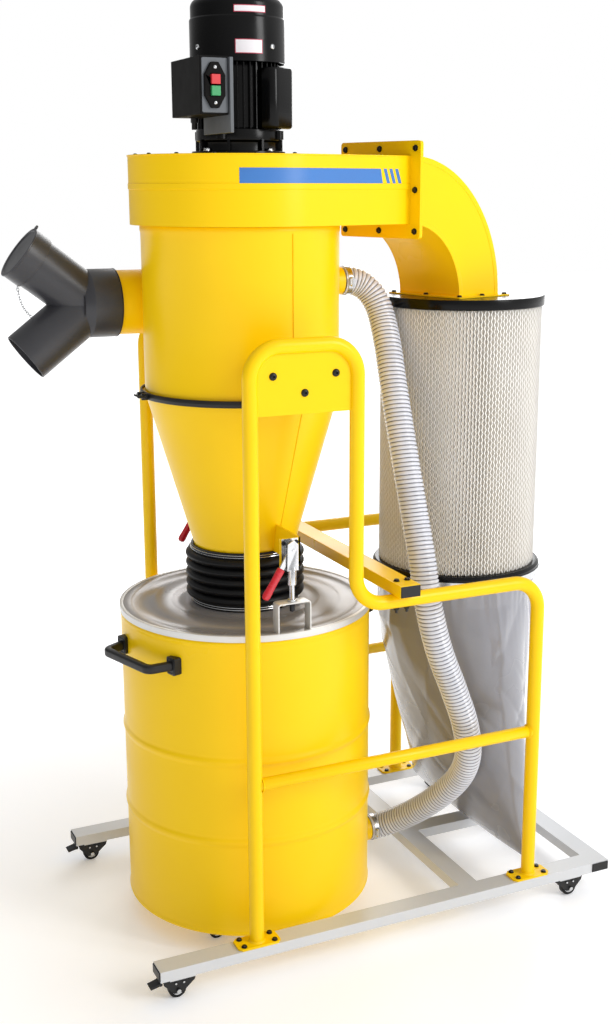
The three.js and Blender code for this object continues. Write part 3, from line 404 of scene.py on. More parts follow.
def piece(name, parts, material, body, replaces=(), slot=None, bevel=0, angle=35):
    """One object from parts in millimetres, riding on a body, or on none yet where it blends."""
    points = np.vstack([part[0] for part in parts]) * MM + (AXIS_X, 0, 0)
    faces, start = [], 0
    for part_points, part_faces in parts:
        faces += [[start + i for i in face] for face in part_faces]
        start += len(part_points)
    mesh = bpy.data.meshes.new(name)
    mesh.from_pydata(points.tolist(), [], faces)
    work = bmesh.new()
    work.from_mesh(mesh)
    bmesh.ops.remove_doubles(work, verts=work.verts, dist=1e-6)
    work.to_mesh(mesh)
    work.free()
    obj = bpy.data.objects.new(name, mesh)
    bpy.context.scene.collection.objects.link(obj)
    finish_mesh(obj, material, bevel, angle)
    if body:
        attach(obj, body)
    if replaces:
        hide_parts(*replaces)
    return obj


def refined(node, material, bevel):
    """A CAD node's shape, merged, with its facets joined and its edges rounded."""
    source = frame["nodes"][node]
    work = bmesh.new()
    work.from_mesh(source.data)
    bmesh.ops.remove_doubles(work, verts=work.verts, dist=1e-5)
    bmesh.ops.dissolve_limit(work, angle_limit=radians(1), verts=work.verts, edges=work.edges)
    mesh = bpy.data.meshes.new(node + "_finished")
    work.to_mesh(mesh)
    work.free()
    obj = bpy.data.objects.new(mesh.name, mesh)
    bpy.context.scene.collection.objects.link(obj)
    finish_mesh(obj, material, bevel, 38)
    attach(obj, source["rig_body"])
    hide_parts(node)


def node_body(node):
    """The body that a CAD node rides on."""
    return frame["nodes"][node]["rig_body"]


def recoat(node, material):
    """A CAD node kept as it is, in another material."""
    materials = frame["nodes"][node].data.materials
    materials.clear()
    materials.append(material)


def sheet(name, parts, node, **look):
    """A fixed piece in the yellow coat that replaces a CAD node."""
    piece(name, parts, YELLOW, "root", [node], "yellow_enamel", **look)


def enamelled(name, parts, node, **look):
    """A fixed piece in the black enamel that replaces a CAD node."""
    piece(name, parts, MOTOR_BLACK, "root", [node], "black_enamel", **look)


def plated(name, parts, body="root", **look):
    """Zinc-plated trim."""
    piece(name, parts, ZINC, body, slot="zinc", **look)


def fastened(name, parts, body="root"):
    """Blackened bolts and pins."""
    piece(name, parts, BOLT_BLACK, body, slot="black_enamel", angle=30)


# ---- materials ------------------------------------------------------------------------------
def linear(code):
    """An sRGB hex colour as linear red, green and blue, with an alpha of one."""
    channels = [int(code[i:i + 2], 16) / 255 for i in (1, 3, 5)]
    return [c / 12.92 if c <= 0.04045 else ((c + 0.055) / 1.055) ** 2.4 for c in channels] + [1.0]


def put(tree, kind, inputs=None, **settings):
    """One node with its settings, and its sockets set or linked."""
    made = tree.nodes.new("ShaderNode" + kind)
    for key, value in settings.items():
        setattr(made, key, value)
    for socket, value in (inputs or {}).items():
        if isinstance(value, bpy.types.NodeSocket):
            tree.links.new(value, made.inputs[socket])
        else:
            made.inputs[socket].default_value = value
    return made


def finish(name, colour, shade, roughness, grain, grain_height, patch=6.0, spread=0.05, **shader):
    """A Principled finish: two close colours in soft patches, and a fine grain in mm.

    grain is the size of the surface texture in mm and grain_height its depth in mm; spread is
    how far roughness wanders with the patches, patch is the patches' scale per metre.
    """
    material = bpy.data.materials.new(name)
    material.use_nodes = True
    tree = material.node_tree
    shaded = tree.nodes["Principled BSDF"]
    place = put(tree, "TexCoord").outputs["Object"]
    patches = put(tree, "TexNoise", {"Vector": place, "Scale": patch, "Detail": 3.0})
    mixed = put(tree, "MixRGB", {"Fac": patches.outputs["Fac"], "Color1": linear(colour),
                                 "Color2": linear(shade)})
    rough = put(tree, "MapRange", {"Value": patches.outputs["Fac"], "From Min": 0.3,
                                   "From Max": 0.7, "To Min": roughness - spread,
                                   "To Max": roughness + spread})
    texture = put(tree, "TexNoise", {"Vector": place, "Scale": 1000.0 / grain, "Detail": 2.0})
    bump = put(tree, "Bump", {"Height": texture.outputs["Fac"], "Strength": 1.0,
                              "Distance": grain_height * MM})
    tree.links.new(mixed.outputs[0], shaded.inputs["Base Color"])
    tree.links.new(rough.outputs[0], shaded.inputs["Roughness"])
    tree.links.new(bump.outputs[0], shaded.inputs["Normal"])
    for key, value in shader.items():
        shaded.inputs[key.replace("_", " ").title().replace("Ior", "IOR")].default_value = value
    return material


# Polyester powder coat over sheet steel: glossy, with a soft orange peel of about 4 mm.
YELLOW = finish("yellow powder coat", "#FBD002", "#F7C801", 0.32, 4.0, 0.02,
                specular_ior_level=0.22)
# Silver-grey satin paint on mild-steel box section, a little sparkling and even.
RAIL_SILVER = finish("silver rail paint", "#D4D5D7", "#CACCCE", 0.42, 1.5, 0.01, metallic=0.2)
# Grey satin paint on the pressed lid, showing the softly uneven film of a pressing.
LID_GREY = finish("grey lid paint", "#A09C9A", "#8E8A88", 0.32, 3.0, 0.015, metallic=0.3)
# Bright zinc-plated band, pale and half matt after rolling.
PALE_STEEL = finish("pale band steel", "#DCDBD8", "#CFCECB", 0.35, 1.2, 0.01, metallic=0.35)
# Bright zinc-plated steel stampings: shiny, with a faint cloud in the plating.
ZINC = finish("bright zinc plate", "#D4D5D6", "#BFC1C3", 0.24, 1.0, 0.008, patch=60.0, metallic=1.0)
# Gloss black enamel over cast and pressed metal; the casting shows as a slow ripple.
MOTOR_BLACK = finish("black motor enamel", "#020202", "#050506", 0.22, 5.0, 0.03, patch=20.0,
                     specular_ior_level=0.2)
# Textured black enamel of the switch box's pressed steel, which scatters the light.
BOX_BLACK = finish("black textured enamel", "#070606", "#0C0B0A", 0.62, 1.2, 0.04, patch=20.0,
                   specular_ior_level=0.12)
# Moulded ABS with a fine spark-eroded grain that breaks the highlight up.
ABS = finish("black moulded abs", "#2A2A2E", "#38383C", 0.36, 0.8, 0.02, patch=12.0)
# Injection-moulded glass-filled nylon, near black and half matt.
NYLON = finish("black nylon", "#101011", "#171718", 0.4, 0.9, 0.015, patch=30.0,
               specular_ior_level=0.4)
# Moulded nitrile rubber: dark, with dull patches of bloom.
RUBBER = finish("black rubber", "#060607", "#0B0B0C", 0.44, 0.9, 0.02, patch=25.0, spread=0.08,
                specular_ior_level=0.25)
# Black-oxide steel of the bolts, lightly oiled.
BOLT_BLACK = finish("black oxide steel", "#1A1A1C", "#232326", 0.32, 0.6, 0.01, patch=80.0,
                    metallic=0.5)
# Plastisol-dipped grip: thick, glossy and slightly uneven.
VINYL = finish("red dipped vinyl", "#C8142A", "#BB1024", 0.28, 3.0, 0.05, patch=40.0,
               coat_weight=0.3)
# Polypropylene wheel centre, grey-white.
HUB = finish("pale wheel hub", "#D9DADB", "#C9CACC", 0.38, 0.8, 0.01, patch=40.0)
# Pleated spun-bond polyester, matt warm white with darker dusty streaks down the pleats.
FELT = finish("pleated polyester felt", "#EAE7E2", "#DDD8CF", 0.85, 0.7, 0.08, patch=9.0)
# Expanded steel mesh with a pale baked coat.
MESH = finish("pale expanded mesh", "#FBFAF8", "#F3F1EE", 0.45, 0.8, 0.01, patch=30.0)
# Moulded polycarbonate push button in signal red.
STOP_RED = finish("stop button red", "#CE3438", "#C42C32", 0.3, 0.8, 0.01, patch=50.0)
# Moulded polycarbonate push button in green.
START_GREEN = finish("start button green", "#3E9C62", "#358F58", 0.3, 0.8, 0.01, patch=50.0)
# Sand-cast aluminium of the fan wheel and rotor, dull and grainy.
ALUMINIUM = finish("cast aluminium", "#B2B5B8", "#A3A7AB", 0.45, 0.8, 0.05, patch=40.0,
                   metallic=1.0)
# Printed vinyl stripe.
STRIPE_BLUE = finish("blue vinyl stripe", "#3D78BE", "#376FB4", 0.35, 2.0, 0.005, patch=20.0)
# Blank polyester label with a satin face.
LABEL_WHITE = finish("blank white label", "#E8E5E8", "#DBD8DD", 0.4, 2.0, 0.005, patch=60.0)
# Printed border of a blank label, dull pink-red.
LABEL_EDGE = finish("label border red", "#B8374F", "#A93048", 0.4, 2.0, 0.005, patch=60.0)
# Grey painted steel face plate of the switch box.
FACE_GREY = finish("grey face plate", "#5B5F64", "#54585D", 0.35, 1.5, 0.01, patch=30.0)
# Grey polythene film: glossy on its creases, duller where it is rubbed.
FILM = finish("grey polythene film", "#909199", "#83848C", 0.24, 14.0, 0.35, patch=7.0, spread=0.08,
              coat_weight=0.4, coat_roughness=0.12)


def ribbed_hose_plastic():
    """Clear PVC over a sprung steel wire: each turn of its UV map has a pale crest and, in the
    groove between the wire's turns, a dark line of painted shade.
    """
    material = finish("ribbed clear hose", "#DEE0E8", "#C2C4CD", 0.28, 6.0, 0.03, patch=14.0,
                      coat_weight=0.5, coat_roughness=0.12)
    tree = material.node_tree
    shaded = tree.nodes["Principled BSDF"]
    phase = put(tree, "SeparateXYZ", {"Vector": put(tree, "UVMap", uv_map="turns").outputs[0]})
    turn = put(tree, "Math", {0: phase.outputs["X"]}, operation="FRACT")
    away = put(tree, "Math", {0: turn.outputs[0], 1: 0.5}, operation="SUBTRACT")
    depth = put(tree, "Math", {0: away.outputs[0]}, operation="ABSOLUTE")
    # wire here is the mask of a dark line of painted shade, which lies in each groove between the
    # helix's turns, not on the wire in the crests.
    wire = put(tree, "MapRange", {"Value": depth.outputs[0], "From Min": 0.30, "From Max": 0.48,
                                  "To Min": 0.0, "To Max": 1.0})
    base = shaded.inputs["Base Color"].links[0].from_socket
    mixed = put(tree, "MixRGB", {"Fac": wire.outputs[0], "Color1": base,
                                 "Color2": linear("#55565D")})
    tree.links.new(mixed.outputs[0], shaded.inputs["Base Color"])
    return material


# ---- balance hose ---------------------------------------------------------------------------
HOSE_R = 32.0
HOSE_PITCH = 9.5
RIB_DEPTH = 3.2
HOSE_ROUTE = [
    (246.5, 0, 1490), (268, 0, 1490), (294, -2, 1482), (317, -10, 1462), (331, -22, 1432),
    (336, -36, 1400), (333, -70, 1342), (328, -104, 1270), (326, -140, 1183), (327, -180, 1074),
    (332, -214, 964), (335, -243, 877), (341, -260, 786), (368, -268, 668), (410, -271, 560),
    (444, -270, 466), (463, -255, 385), (468, -214, 310), (449, -155, 238), (420, -86, 172),
    (388, -32, 128), (358, -4, 107), (344, 0, 105), (326.5, 0, 105),
]


def through(points, steps=24):
    """A centripetal Catmull-Rom curve: each span's Hermite slopes from root-distance knots."""
    p = np.array(points, float)
    p = np.vstack([2 * p[0] - p[1], p, 2 * p[-1] - p[-2]])
    knot = np.linalg.norm(np.diff(p, axis=0), axis=1) ** 0.5
    t = np.linspace(0, 1, steps, endpoint=False)[:, None]
    runs = []
    for i in range(1, len(p) - 2):
        a, b, c = knot[i - 1], knot[i], knot[i + 1]
        first = (p[i] - p[i - 1]) / a - (p[i + 1] - p[i - 1]) / (a + b) + (p[i + 1] - p[i]) / b
        second = (p[i + 1] - p[i]) / b - (p[i + 2] - p[i]) / (b + c) + (p[i + 2] - p[i + 1]) / c
        m0, m1 = first * b, second * b
        runs.append((2 * t**3 - 3 * t**2 + 1) * p[i] + (t**3 - 2 * t**2 + t) * m0
                    + (3 * t**2 - 2 * t**3) * p[i + 1] + (t**3 - t**2) * m1)
    return np.vstack(runs + [p[-2:-1]])


def evenly(path, spacing):
    """The same path with points an even distance apart, and its length."""
    step = np.linalg.norm(np.diff(path, axis=0), axis=1)
    along = np.concatenate([[0], np.cumsum(step)])
    count = int(round(along[-1] / spacing)) + 1
    at = np.linspace(0, along[-1], count)
    return np.stack([np.interp(at, along, path[:, k]) for k in range(3)], 1), at, along[-1]


def map_turns(mesh, phase):
    """A UV map whose u counts the helix's turns at each vertex, made whole across the seam."""
    corner = np.zeros(len(mesh.loops), int)
    mesh.loops.foreach_get("vertex_index", corner)
    starts, totals = np.zeros((2, len(mesh.polygons)), int)
    mesh.polygons.foreach_get("loop_start", starts)
    mesh.polygons.foreach_get("loop_total", totals)
    u = phase[corner]
    quads = starts[totals == 4][:, None] + np.arange(4)
    face = u[quads]
    u[quads] = face + (face.max(1, keepdims=True) - face > 0.6)
    turns = mesh.uv_layers.new(name="turns")
    turns.data.foreach_set("uv", np.stack([u, 0 * u], 1).reshape(-1))


def balance_hose():
    """A tube whose radius falls between the turns of a helix: r = R - depth * (1 - crest)."""
    path, along, length = evenly(through(HOSE_ROUTE), HOSE_PITCH / 6)
    side, up = transported(path)
    sides = 40
    angle = np.linspace(0, 2 * pi, sides, endpoint=False)
    phase = along[:, None] / HOSE_PITCH - angle[None] / (2 * pi)
    crest = np.abs(np.cos(pi * (phase - np.floor(phase) - 0.5))) ** 0.8
    cuff = np.clip(np.minimum(along, length - along) / 22.0, 0, 1)[:, None]
    radius = HOSE_R - RIB_DEPTH * (1 - crest) * np.clip(cuff * 2 - 1, 0, 1)
    spoke = (np.cos(angle)[None, :, None] * side[:, None]
             + np.sin(angle)[None, :, None] * up[:, None])
    points = path[:, None] + radius[..., None] * spoke
    bore = path[[0, -1], None] + (PIPE_R + 0.4) * spoke[[0, -1]]
    part = grid(np.concatenate([bore[:1], points, bore[-1:]]), wrap_v=True, caps=True)
    obj = piece("balance_hose_ribbed", [part], ribbed_hose_plastic(), "root",
                ["balance_hose"], "hose_plastic", angle=60)
    map_turns(obj.data, np.concatenate([phase[:1], phase, phase[-1:]]).reshape(-1))
    for name, end, onward in (("upper", 0, 1), ("lower", -1, -2)):
        start, direction = path[end], unit(path[onward] - path[end])
        clamp = [pipe(HOSE_R + 1.6, HOSE_R + 0.3, start + direction * 5,
                      start + direction * 17, 48)]
        screw = start + direction * 11 + np.array([0, -HOSE_R - 5, 0])
        clamp.append(cylinder(4.2, screw - (0, 0, 11), screw + (0, 0, 11), 16))
        clamp.append(brick(screw - (6, 3, 7), screw + (6, 4, 7)))
        plated("hose_clamp_" + name, clamp, bevel=0.5)


# ---- base -----------------------------------------------------------------------------------
def base():
    """The welded rails, with plugs in their open ends."""
    refined("base_frame", RAIL_SILVER, bevel=2.2)
    x0, x1 = base_low[0], base_high[0]
    z0, z1 = RAIL_TOP - 25, RAIL_TOP
    caps = []
    for s in (-1, 1):
        y = s * SIDE_Y
        caps.append(brick((x0 - 2.5, y - 23, z0 + 2), (x0 + 1, y + 23, z1 - 2)))
        outer = s * (SIDE_Y + RAIL / 2)
        caps.append(brick((x1 - 48, min(outer, outer + 2.5 * s) - 0.5, z0 + 2),
                          (x1 - 2, max(outer, outer + 2.5 * s) + 0.5, z1 - 2)))
    piece("rail_end_caps", caps, NYLON, "root", slot="black_plastic", bevel=1.2)


def foot_plate(x, y):
    """A welded foot: a plate with cut corners around the tube's end."""
    half, deep, cut = 50.0, 25.0, 9.0
    outline = [(-half + cut, -deep), (half - cut, -deep), (half, -deep + cut),
               (half, deep - cut), (half - cut, deep), (-half + cut, deep),
               (-half, deep - cut), (-half, -deep + cut)]
    return plate(np.array(outline) + (x, y), 5, (0, 0, RAIL_TOP + 0.3))


def weld(x, y, z, radius, direction=(0, 0, 1)):
    """A small fillet bead round a tube's end."""
    bead = [(radius - 1, 0), (radius + 3.5, 0), (radius + 2.2, 1.6), (radius, 3.5)]
    return turned(bead, 40, (x, y, z), direction)


def side_frame(node, s):
    """Tubes bent in one plane, a brace, two feet and the gusset plate, welded together."""
    y = s * SIDE_Y
    foot = RAIL_TOP + 5.3
    path = rounded([(-POST_X, y, foot - 2), (-POST_X, y, FRAME_TOP), (POST_X, y, FRAME_TOP),
                    (POST_X, y, SIDE_RAIL_Z), (FAR_POST_X, y, SIDE_RAIL_Z),
                    (FAR_POST_X, y, foot - 2)], BEND, 14)
    tube = swept(disc(TUBE_R, 32), path, normal=(0, 1, 0))
    brace = cylinder(BRACE_R, (-POST_X + 8, y, BRACE_Z), (FAR_POST_X - 8, y, BRACE_Z), 32)
    rounds = panel(-POST_X, GUSSET_Z, POST_X, FRAME_TOP, BEND, 10)[22:]
    gusset = np.vstack([[(-POST_X, GUSSET_Z), (POST_X, GUSSET_Z)], rounds])
    parts = [tube, brace, upright(gusset, y - 2, y + 2)]
    for x in (-POST_X, FAR_POST_X):
        parts += [foot_plate(x, y), weld(x, y, foot, TUBE_R)]
        inward = 1 if x < 0 else -1
        parts.append(weld(x + inward * (TUBE_R - 1.5), y, BRACE_Z, BRACE_R, (inward, 0, 0)))
    sheet(node + "_tubes", parts, node, angle=50)
    bolts = []
    for x in (-POST_X, FAR_POST_X):
        spots = [(x + i * 36, y + j * 15.5, foot) for i in (-1, 1) for j in (-1, 1)]
        bolts += bolts_at(hex_bolt, [(spot, (0, 0, 1)) for spot in spots], 6.5)
    bolts += bolts_at(button_bolt, [((x, y + s * 2, z), (0, s, 0)) for x, z in GUSSET_BOLTS], 9)
    fastened(node + "_bolts", bolts)


def cross_beam():
    """The beam under the filter, with its plugs and the bolts through the two side frames."""
    refined("cross_beam", YELLOW, bevel=2.2)
    low, high = edges("cross_beam")
    caps, bolts = [], []
    for s in (-1, 1):
        y = high[1] * s
        caps.append(brick((low[0] + 1.5, min(y, y + 2.5 * s) - 0.5, low[2] + 1.5),
                          (high[0] - 1.5, max(y, y + 2.5 * s) + 0.5, high[2] - 1.5)))
        spots = [((low[0] + high[0]) / 2 + dx, s * SIDE_Y) for dx in (-13, 13)]
        bolts += bolts_at(hex_bolt, [((x, y0, high[2]), (0, 0, 1)) for x, y0 in spots], 7)
        under = low[2] - 2 * TUBE_R - 0.3
        bolts += bolts_at(hex_bolt, [((x, y0, under), (0, 0, -1)) for x, y0 in spots], 7)
        bolts += [cylinder(3.4, (x, y0, under - 12), (x, y0, under), 14) for x, y0 in spots]
    piece("beam_end_caps", caps, NYLON, "root", slot="black_plastic", bevel=1.2)
    fastened("beam_bolts", bolts)


# ---- castors --------------------------------------------------------------------------------
def castor_wheel(node):
    """A solid tyre on a dished hub: one profile turned about the axle."""
    low, high = edges(node)
    centre = (low + high) / 2
    width, r = high[1] - low[1], (high[2] - low[2]) / 2
    half = width / 2
    tyre = rounded([(r * 0.62, -half + 1), (r, -half + 0.6), (r, half - 0.6),
                    (r * 0.62, half - 1)], 2.4, 4, closed=True)
    body = node_body(node)
    piece(node + "_tyre", [turned(tyre, 48, centre, (0, 1, 0))], RUBBER, body, [node],
          "castor_tyre", angle=40)
    hub = [(3.4, -half - 0.2), (r * 0.3, -half - 0.2), (r * 0.36, -half + 1.6),
           (r * 0.5, -half + 1.8), (r * 0.56, -half + 0.2), (r * 0.63, -half + 0.4),
           (r * 0.63, half - 0.4), (r * 0.56, half - 0.2), (r * 0.5, half - 1.8),
           (r * 0.36, half - 1.6), (r * 0.3, half + 0.2), (3.4, half + 0.2)]
    piece(node + "_hub", [turned(hub, 40, centre, (0, 1, 0))], HUB, body, slot="castor_tyre")


def castor_fork(node):
    """The hood with its rolled edges, axle nuts and the two rivets on each cheek."""
    refined(node, NYLON, bevel=1.6)
    low, high = edges(node)
    wheel_low, wheel_high = edges(node.replace("fork", "wheel"))
    axle = (wheel_low + wheel_high) / 2
    rivets = []
    for s in (-1, 1):
        y = high[1] - 1 if s > 0 else low[1] + 1
        rivets += placed(turned([(0, 0), (5, 0), (4.6, 1.6), (2.5, 2.4), (0, 2.4)], 20),
                         [((axle[0], y, axle[2]), (0, s, 0))])
        middle = (low[0] + high[0]) / 2
        rivets += placed(turned([(0, 0), (2.6, 0), (2.2, 1.2), (0, 1.6)], 14),
                         [((middle + dx, y - s, high[2] - 13), (0, s, 0)) for dx in (-9, 9)])
    plated(node + "_rivets", rivets, node_body(node))


def castors():
    """All eight castors: four under the rails and four under the drum."""
    for node in sorted(frame["nodes"]):
        if node.startswith("castor_wheel"):
            castor_wheel(node)
        elif node.startswith("castor_fork"):
            castor_fork(node)
        elif node.startswith("brake_pedal"):
            refined(node, NYLON, bevel=1.4)


# ---- drum and lid ---------------------------------------------------------------------------
HOOPS_Z = (282, 473)
PAD_AT = 155.0
SEAM_TURN = radians(62)


def drum():
    """A wall with rolled chimes and two swaged hoops: r = R + 4 * cos^2 over each hoop."""
    z = np.concatenate([np.linspace(DRUM_Z0 + 3, DRUM_Z0 + 12, 6),
                        np.linspace(DRUM_Z0 + 13, DRUM_Z1 - 16, 240),
                        np.linspace(DRUM_Z1 - 15, DRUM_Z1 - 2, 8)])
    r = np.full(len(z), DRUM_R)
    for hoop in HOOPS_Z:
        near = np.abs(z - hoop) < 13
        r[near] += 3.6 * np.cos(pi * (z[near] - hoop) / 26) ** 2
    r += 1.8 * np.exp(-((z - DRUM_Z0 - 6) / 4) ** 2) + 1.5 * np.exp(-((z - DRUM_Z1 + 7) / 4) ** 2)
    outside = list(zip(r, z))
    inside = [(DRUM_R - WALL, DRUM_Z1), (DRUM_R - WALL, DRUM_Z0 + WALL), (0, DRUM_Z0 + WALL)]
    shell = [(0, DRUM_Z0), (DRUM_R - 2, DRUM_Z0)] + outside + [(DRUM_R - 0.6, DRUM_Z1)] + inside
    parts = [turned(shell, 192),
             pipe(PIPE_R, PIPE_R - WALL, (DRUM_R - 6, 0, SPIGOT_Z), (SPIGOT_X, 0, SPIGOT_Z),
                  48),
             weld(DRUM_R - 1, 0, SPIGOT_Z, PIPE_R, (1, 0, 0))]
    seam = np.linspace(DRUM_Z0 + 14, DRUM_Z1 - 14, 60)
    bulge = np.interp(seam, z, r)
    parts.append(swept(disc(2.2, 10, 0.35), round_points(bulge, SEAM_TURN, seam),
                       normal=(-sin(SEAM_TURN), cos(SEAM_TURN), 0)))
    parts += [brick((x - 20, y - 20, DRUM_Z0 - 3), (x + 20, y + 20, DRUM_Z0 + 0.5))
              for x in (-PAD_AT, PAD_AT) for y in (-PAD_AT, PAD_AT)]
    piece("drum_shell", parts, YELLOW, "drum", ["drum_body"], "yellow_enamel", angle=40)


def drum_handle(node):
    """A bow of rounded section between two feet with sunk panels, in its own turned frame."""
    low, high = edges(node)
    middle = (low + high) / 2
    turn = 17.0 if middle[0] > 0 else 197.0
    z, half = middle[2], 94.5
    seat = sqrt(DRUM_R**2 - (half - 4) ** 2)
    outer = seat + 60
    bar = rounded([(seat + 4, -half, z), (outer, -half + 14, z), (outer, half - 14, z),
                   (seat + 4, half, z)], 16, 8)
    parts = [swept(panel(-9, -10, 9, 10, 6, 4), bar, normal=(0, 0, 1))]
    for s in (-1, 1):
        y, face = s * half, seat + 11
        foot = plate(panel(y - 15, z - 20, y + 15, z + 20, 5, 4), 20, (face - 20, 0, 0),
                     (0, 1, 0), (0, 0, 1))
        # The back of the foot follows the drum's wall.
        back = foot[0][:, 0] < seat
        foot[0][back, 0] = np.sqrt((DRUM_R - 1) ** 2 - foot[0][back, 1] ** 2)
        parts.append(foot)
        rim = panel(y - 11, z - 16, y + 11, z + 16, 3, 3)
        rim = np.column_stack([np.full(len(rim), face + 0.2), rim])
        parts.append(swept(disc(1.1, 8), rim, normal=(1, 0, 0), closed=True))
    parts = [spun(part, turn) for part in parts]
    piece(node + "_bow", parts, NYLON, node_body(node), [node], "black_plastic", bevel=1.0)


def lid():
    """A pressed plate with two sunk rings, a neck, and a U-shaped strap bracket on each side."""
    z0, z1, neck = LID_Z0, LID_Z1, NECK_R
    bracket_top, thick, half = z1 + 66, 3.0, 37.5
    rings = [(290, z1 - 1.5), (287, z1), (270, z1), (262, z1 - 2), (257, z1 - 5.2), (226, z1 - 5.6),
             (220, z1 - 3.5), (212, z1 - 0.4), (176, z1), (170, z1 - 1.2), (165, z1 - 3.2),
             (152, z1 - 3.4), (146, z1 - 1.6), (138, z1 - 0.2), (neck + 6, z1)]
    profile = [(neck - WALL, z0), (DRUM_R, z0)] + rings + [
        (neck + 1.2, z1 + 1.4), (neck, z1 + 6), (neck, z1 + 26), (neck - WALL, z1 + 26)]
    piece("drum_lid_pressing", [turned(profile, 160)], LID_GREY, "lid", ["drum_lid"],
          "lid_paint", angle=32)
    straps, bolts = [], []
    for y in (-BRACKET_Y, BRACKET_Y):
        low, top = z1 - 5, bracket_top - thick / 2
        path = rounded([(-half, y, low), (-half, y, top), (half, y, top), (half, y, low)], 5, 5)
        straps.append(swept(panel(-thick / 2, -15, thick / 2, 15, 0.6, 2), path,
                            normal=(0, 1, 0)))
        under = bracket_top - thick
        bolts += bolts_at(hex_bolt, [((0, y, under), (0, 0, -1))], 9)
        bolts.append(cylinder(5.5, (0, y, under - 20), (0, y, under), 20))
    piece("lid_strap_brackets", straps, PALE_STEEL, "lid", slot="zinc", angle=32)
    band = rounded([(DRUM_R - 6, z1 - 0.6), (DRUM_R - 6, z1 + 1.0), (DRUM_R + 2.4, z1 + 1.0),
                    (DRUM_R + 2.4, DRUM_Z1 + 0.2), (DRUM_R + 1.0, DRUM_Z1 + 0.2),
                    (DRUM_R + 0.4, z1 - 0.6)], 0.6, 3, closed=True)
    piece("drum_lid_edge_band", [turned(band, 160)], PALE_STEEL, "lid", slot="zinc")
    recoat("lid_gasket", RUBBER)
    fastened("lid_bracket_bolts", bolts, "lid")


def bellows():
    """A tube of five full folds: r = R + depth * |sin|^0.7, with a wire clamp at each end."""
    z0, z1, inner = bellows_low[2], bellows_high[2], NECK_R + 1.2
    cuff = 13.0
    t = np.linspace(0, 1, 120)
    z = z0 + cuff + (z1 - z0 - 2 * cuff) * t
    r = inner + 5 + 13 * np.abs(np.sin(pi * 5 * t)) ** 0.6
    outside = [(inner + 5, z0), (inner + 5, z0 + cuff - 1)] + list(zip(r, z)) + [
        (inner + 5, z1 - cuff + 1), (inner + 5, z1)]
    profile = outside + [(inner, z1), (inner, z0)]
    parts = [turned(profile, 120)]
    rubber = piece("bellows_folds", parts, RUBBER, "root", ["bellows"], "rubber", angle=70)
    wires = []
    angle = np.linspace(0, 2 * pi, 100, endpoint=False)
    for z in (z0 + 5, z0 + 10, z1 - 5, z1 - 10):
        wires.append(swept(disc(1.3, 8), round_points(inner + 6, angle, z), normal=(0, 0, 1),
                           closed=True))
        lug = round_points(inner + 8, -1.2, z)
        wires.append(cylinder(2.2, lug - (5, 1, 0), lug + (5, 1, 0), 12))
    clamp = piece("bellows_wire_clamps", wires, ZINC, "root", slot="zinc")
    for soft in (rubber, clamp):
        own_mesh(soft)


# ---- cyclone --------------------------------------------------------------------------------
def cone():
    """A rolled sheet cone with its welded seam, and an angle arm on each side for a toggle."""
    z0, z1 = cone_low[2], CONE_Z1
    z_neck, seam = z0 + 30, radians(-75)
    outer = [(NECK_R, z0), (NECK_R, z_neck), (BARREL_R, z1 - 4), (BARREL_R + 5, z1 - 3),
             (BARREL_R + 6, z1)]
    inner = [(BARREL_R - WALL, z1), (NECK_R - WALL, z_neck), (NECK_R - WALL, z0)]
    path = [round_points(r, seam, z) for r, z in outer[:3]]
    parts = [turned(outer + inner, 160),
             swept(disc(2.0, 10, 0.3), path, normal=(-sin(seam), cos(seam), 0))]
    arm_z0, arm_z1, face = 903, 968, 256.5
    for s in (-1, 1):
        web, leg = sorted((s * 100, s * face)), sorted((s * (face - 3), s * face))
        parts += [brick((22, web[0], arm_z0), (26, web[1], arm_z1)),
                  brick((-22, leg[0], arm_z0), (26, leg[1], arm_z1))]
    sheet("cyclone_cone_sheet", parts, "cyclone_cone", angle=40)


def barrel():
    """A rolled sheet tube with a bead at its top, its seam, pads, inlet stub and hose port."""
    z0, z1 = edges("cyclone_barrel")[0][2], BARREL_Z1
    outer = [(BARREL_R + 6, z0), (BARREL_R + 6, z0 + 2), (BARREL_R + 1, z0 + 4), (BARREL_R, z0 + 8),
             (BARREL_R, z1 - 16), (BARREL_R + 1.6, z1 - 12), (BARREL_R + 1.6, z1 - 3),
             (BARREL_R, z1)]
    inner = [(BARREL_R - WALL, z1), (BARREL_R - WALL, z0)]
    seam = radians(-82)
    path = [round_points(BARREL_R + 0.2, seam, z) for z in (z0 + 8, z1 - 14)]
    parts = [turned(outer + inner, 160),
             pipe(INLET_R, INLET_R - WALL, (-130, INLET_Y, INLET_Z), (-252, INLET_Y, INLET_Z),
                  72),
             pipe(PIPE_R, PIPE_R - WALL, (BARREL_R - 8, 0, HOSE_PORT_Z),
                  (HOSE_PORT_X, 0, HOSE_PORT_Z), 48),
             weld(BARREL_R - 2, 0, HOSE_PORT_Z, PIPE_R, (1, 0, 0)),
             swept(disc(2.0, 10, 0.3), path, normal=(-sin(seam), cos(seam), 0))]
    for s in (-1, 1):
        y0, y1 = sorted((s * (BARREL_R - 30), s * (SIDE_Y - 2.3)))
        parts.append(brick((-62, y0, GUSSET_Z + 30), (62, y1, FRAME_TOP - 30)))
    sheet("cyclone_barrel_sheet", parts, "cyclone_barrel", angle=40)
    recoat("vortex_tube", ZINC)


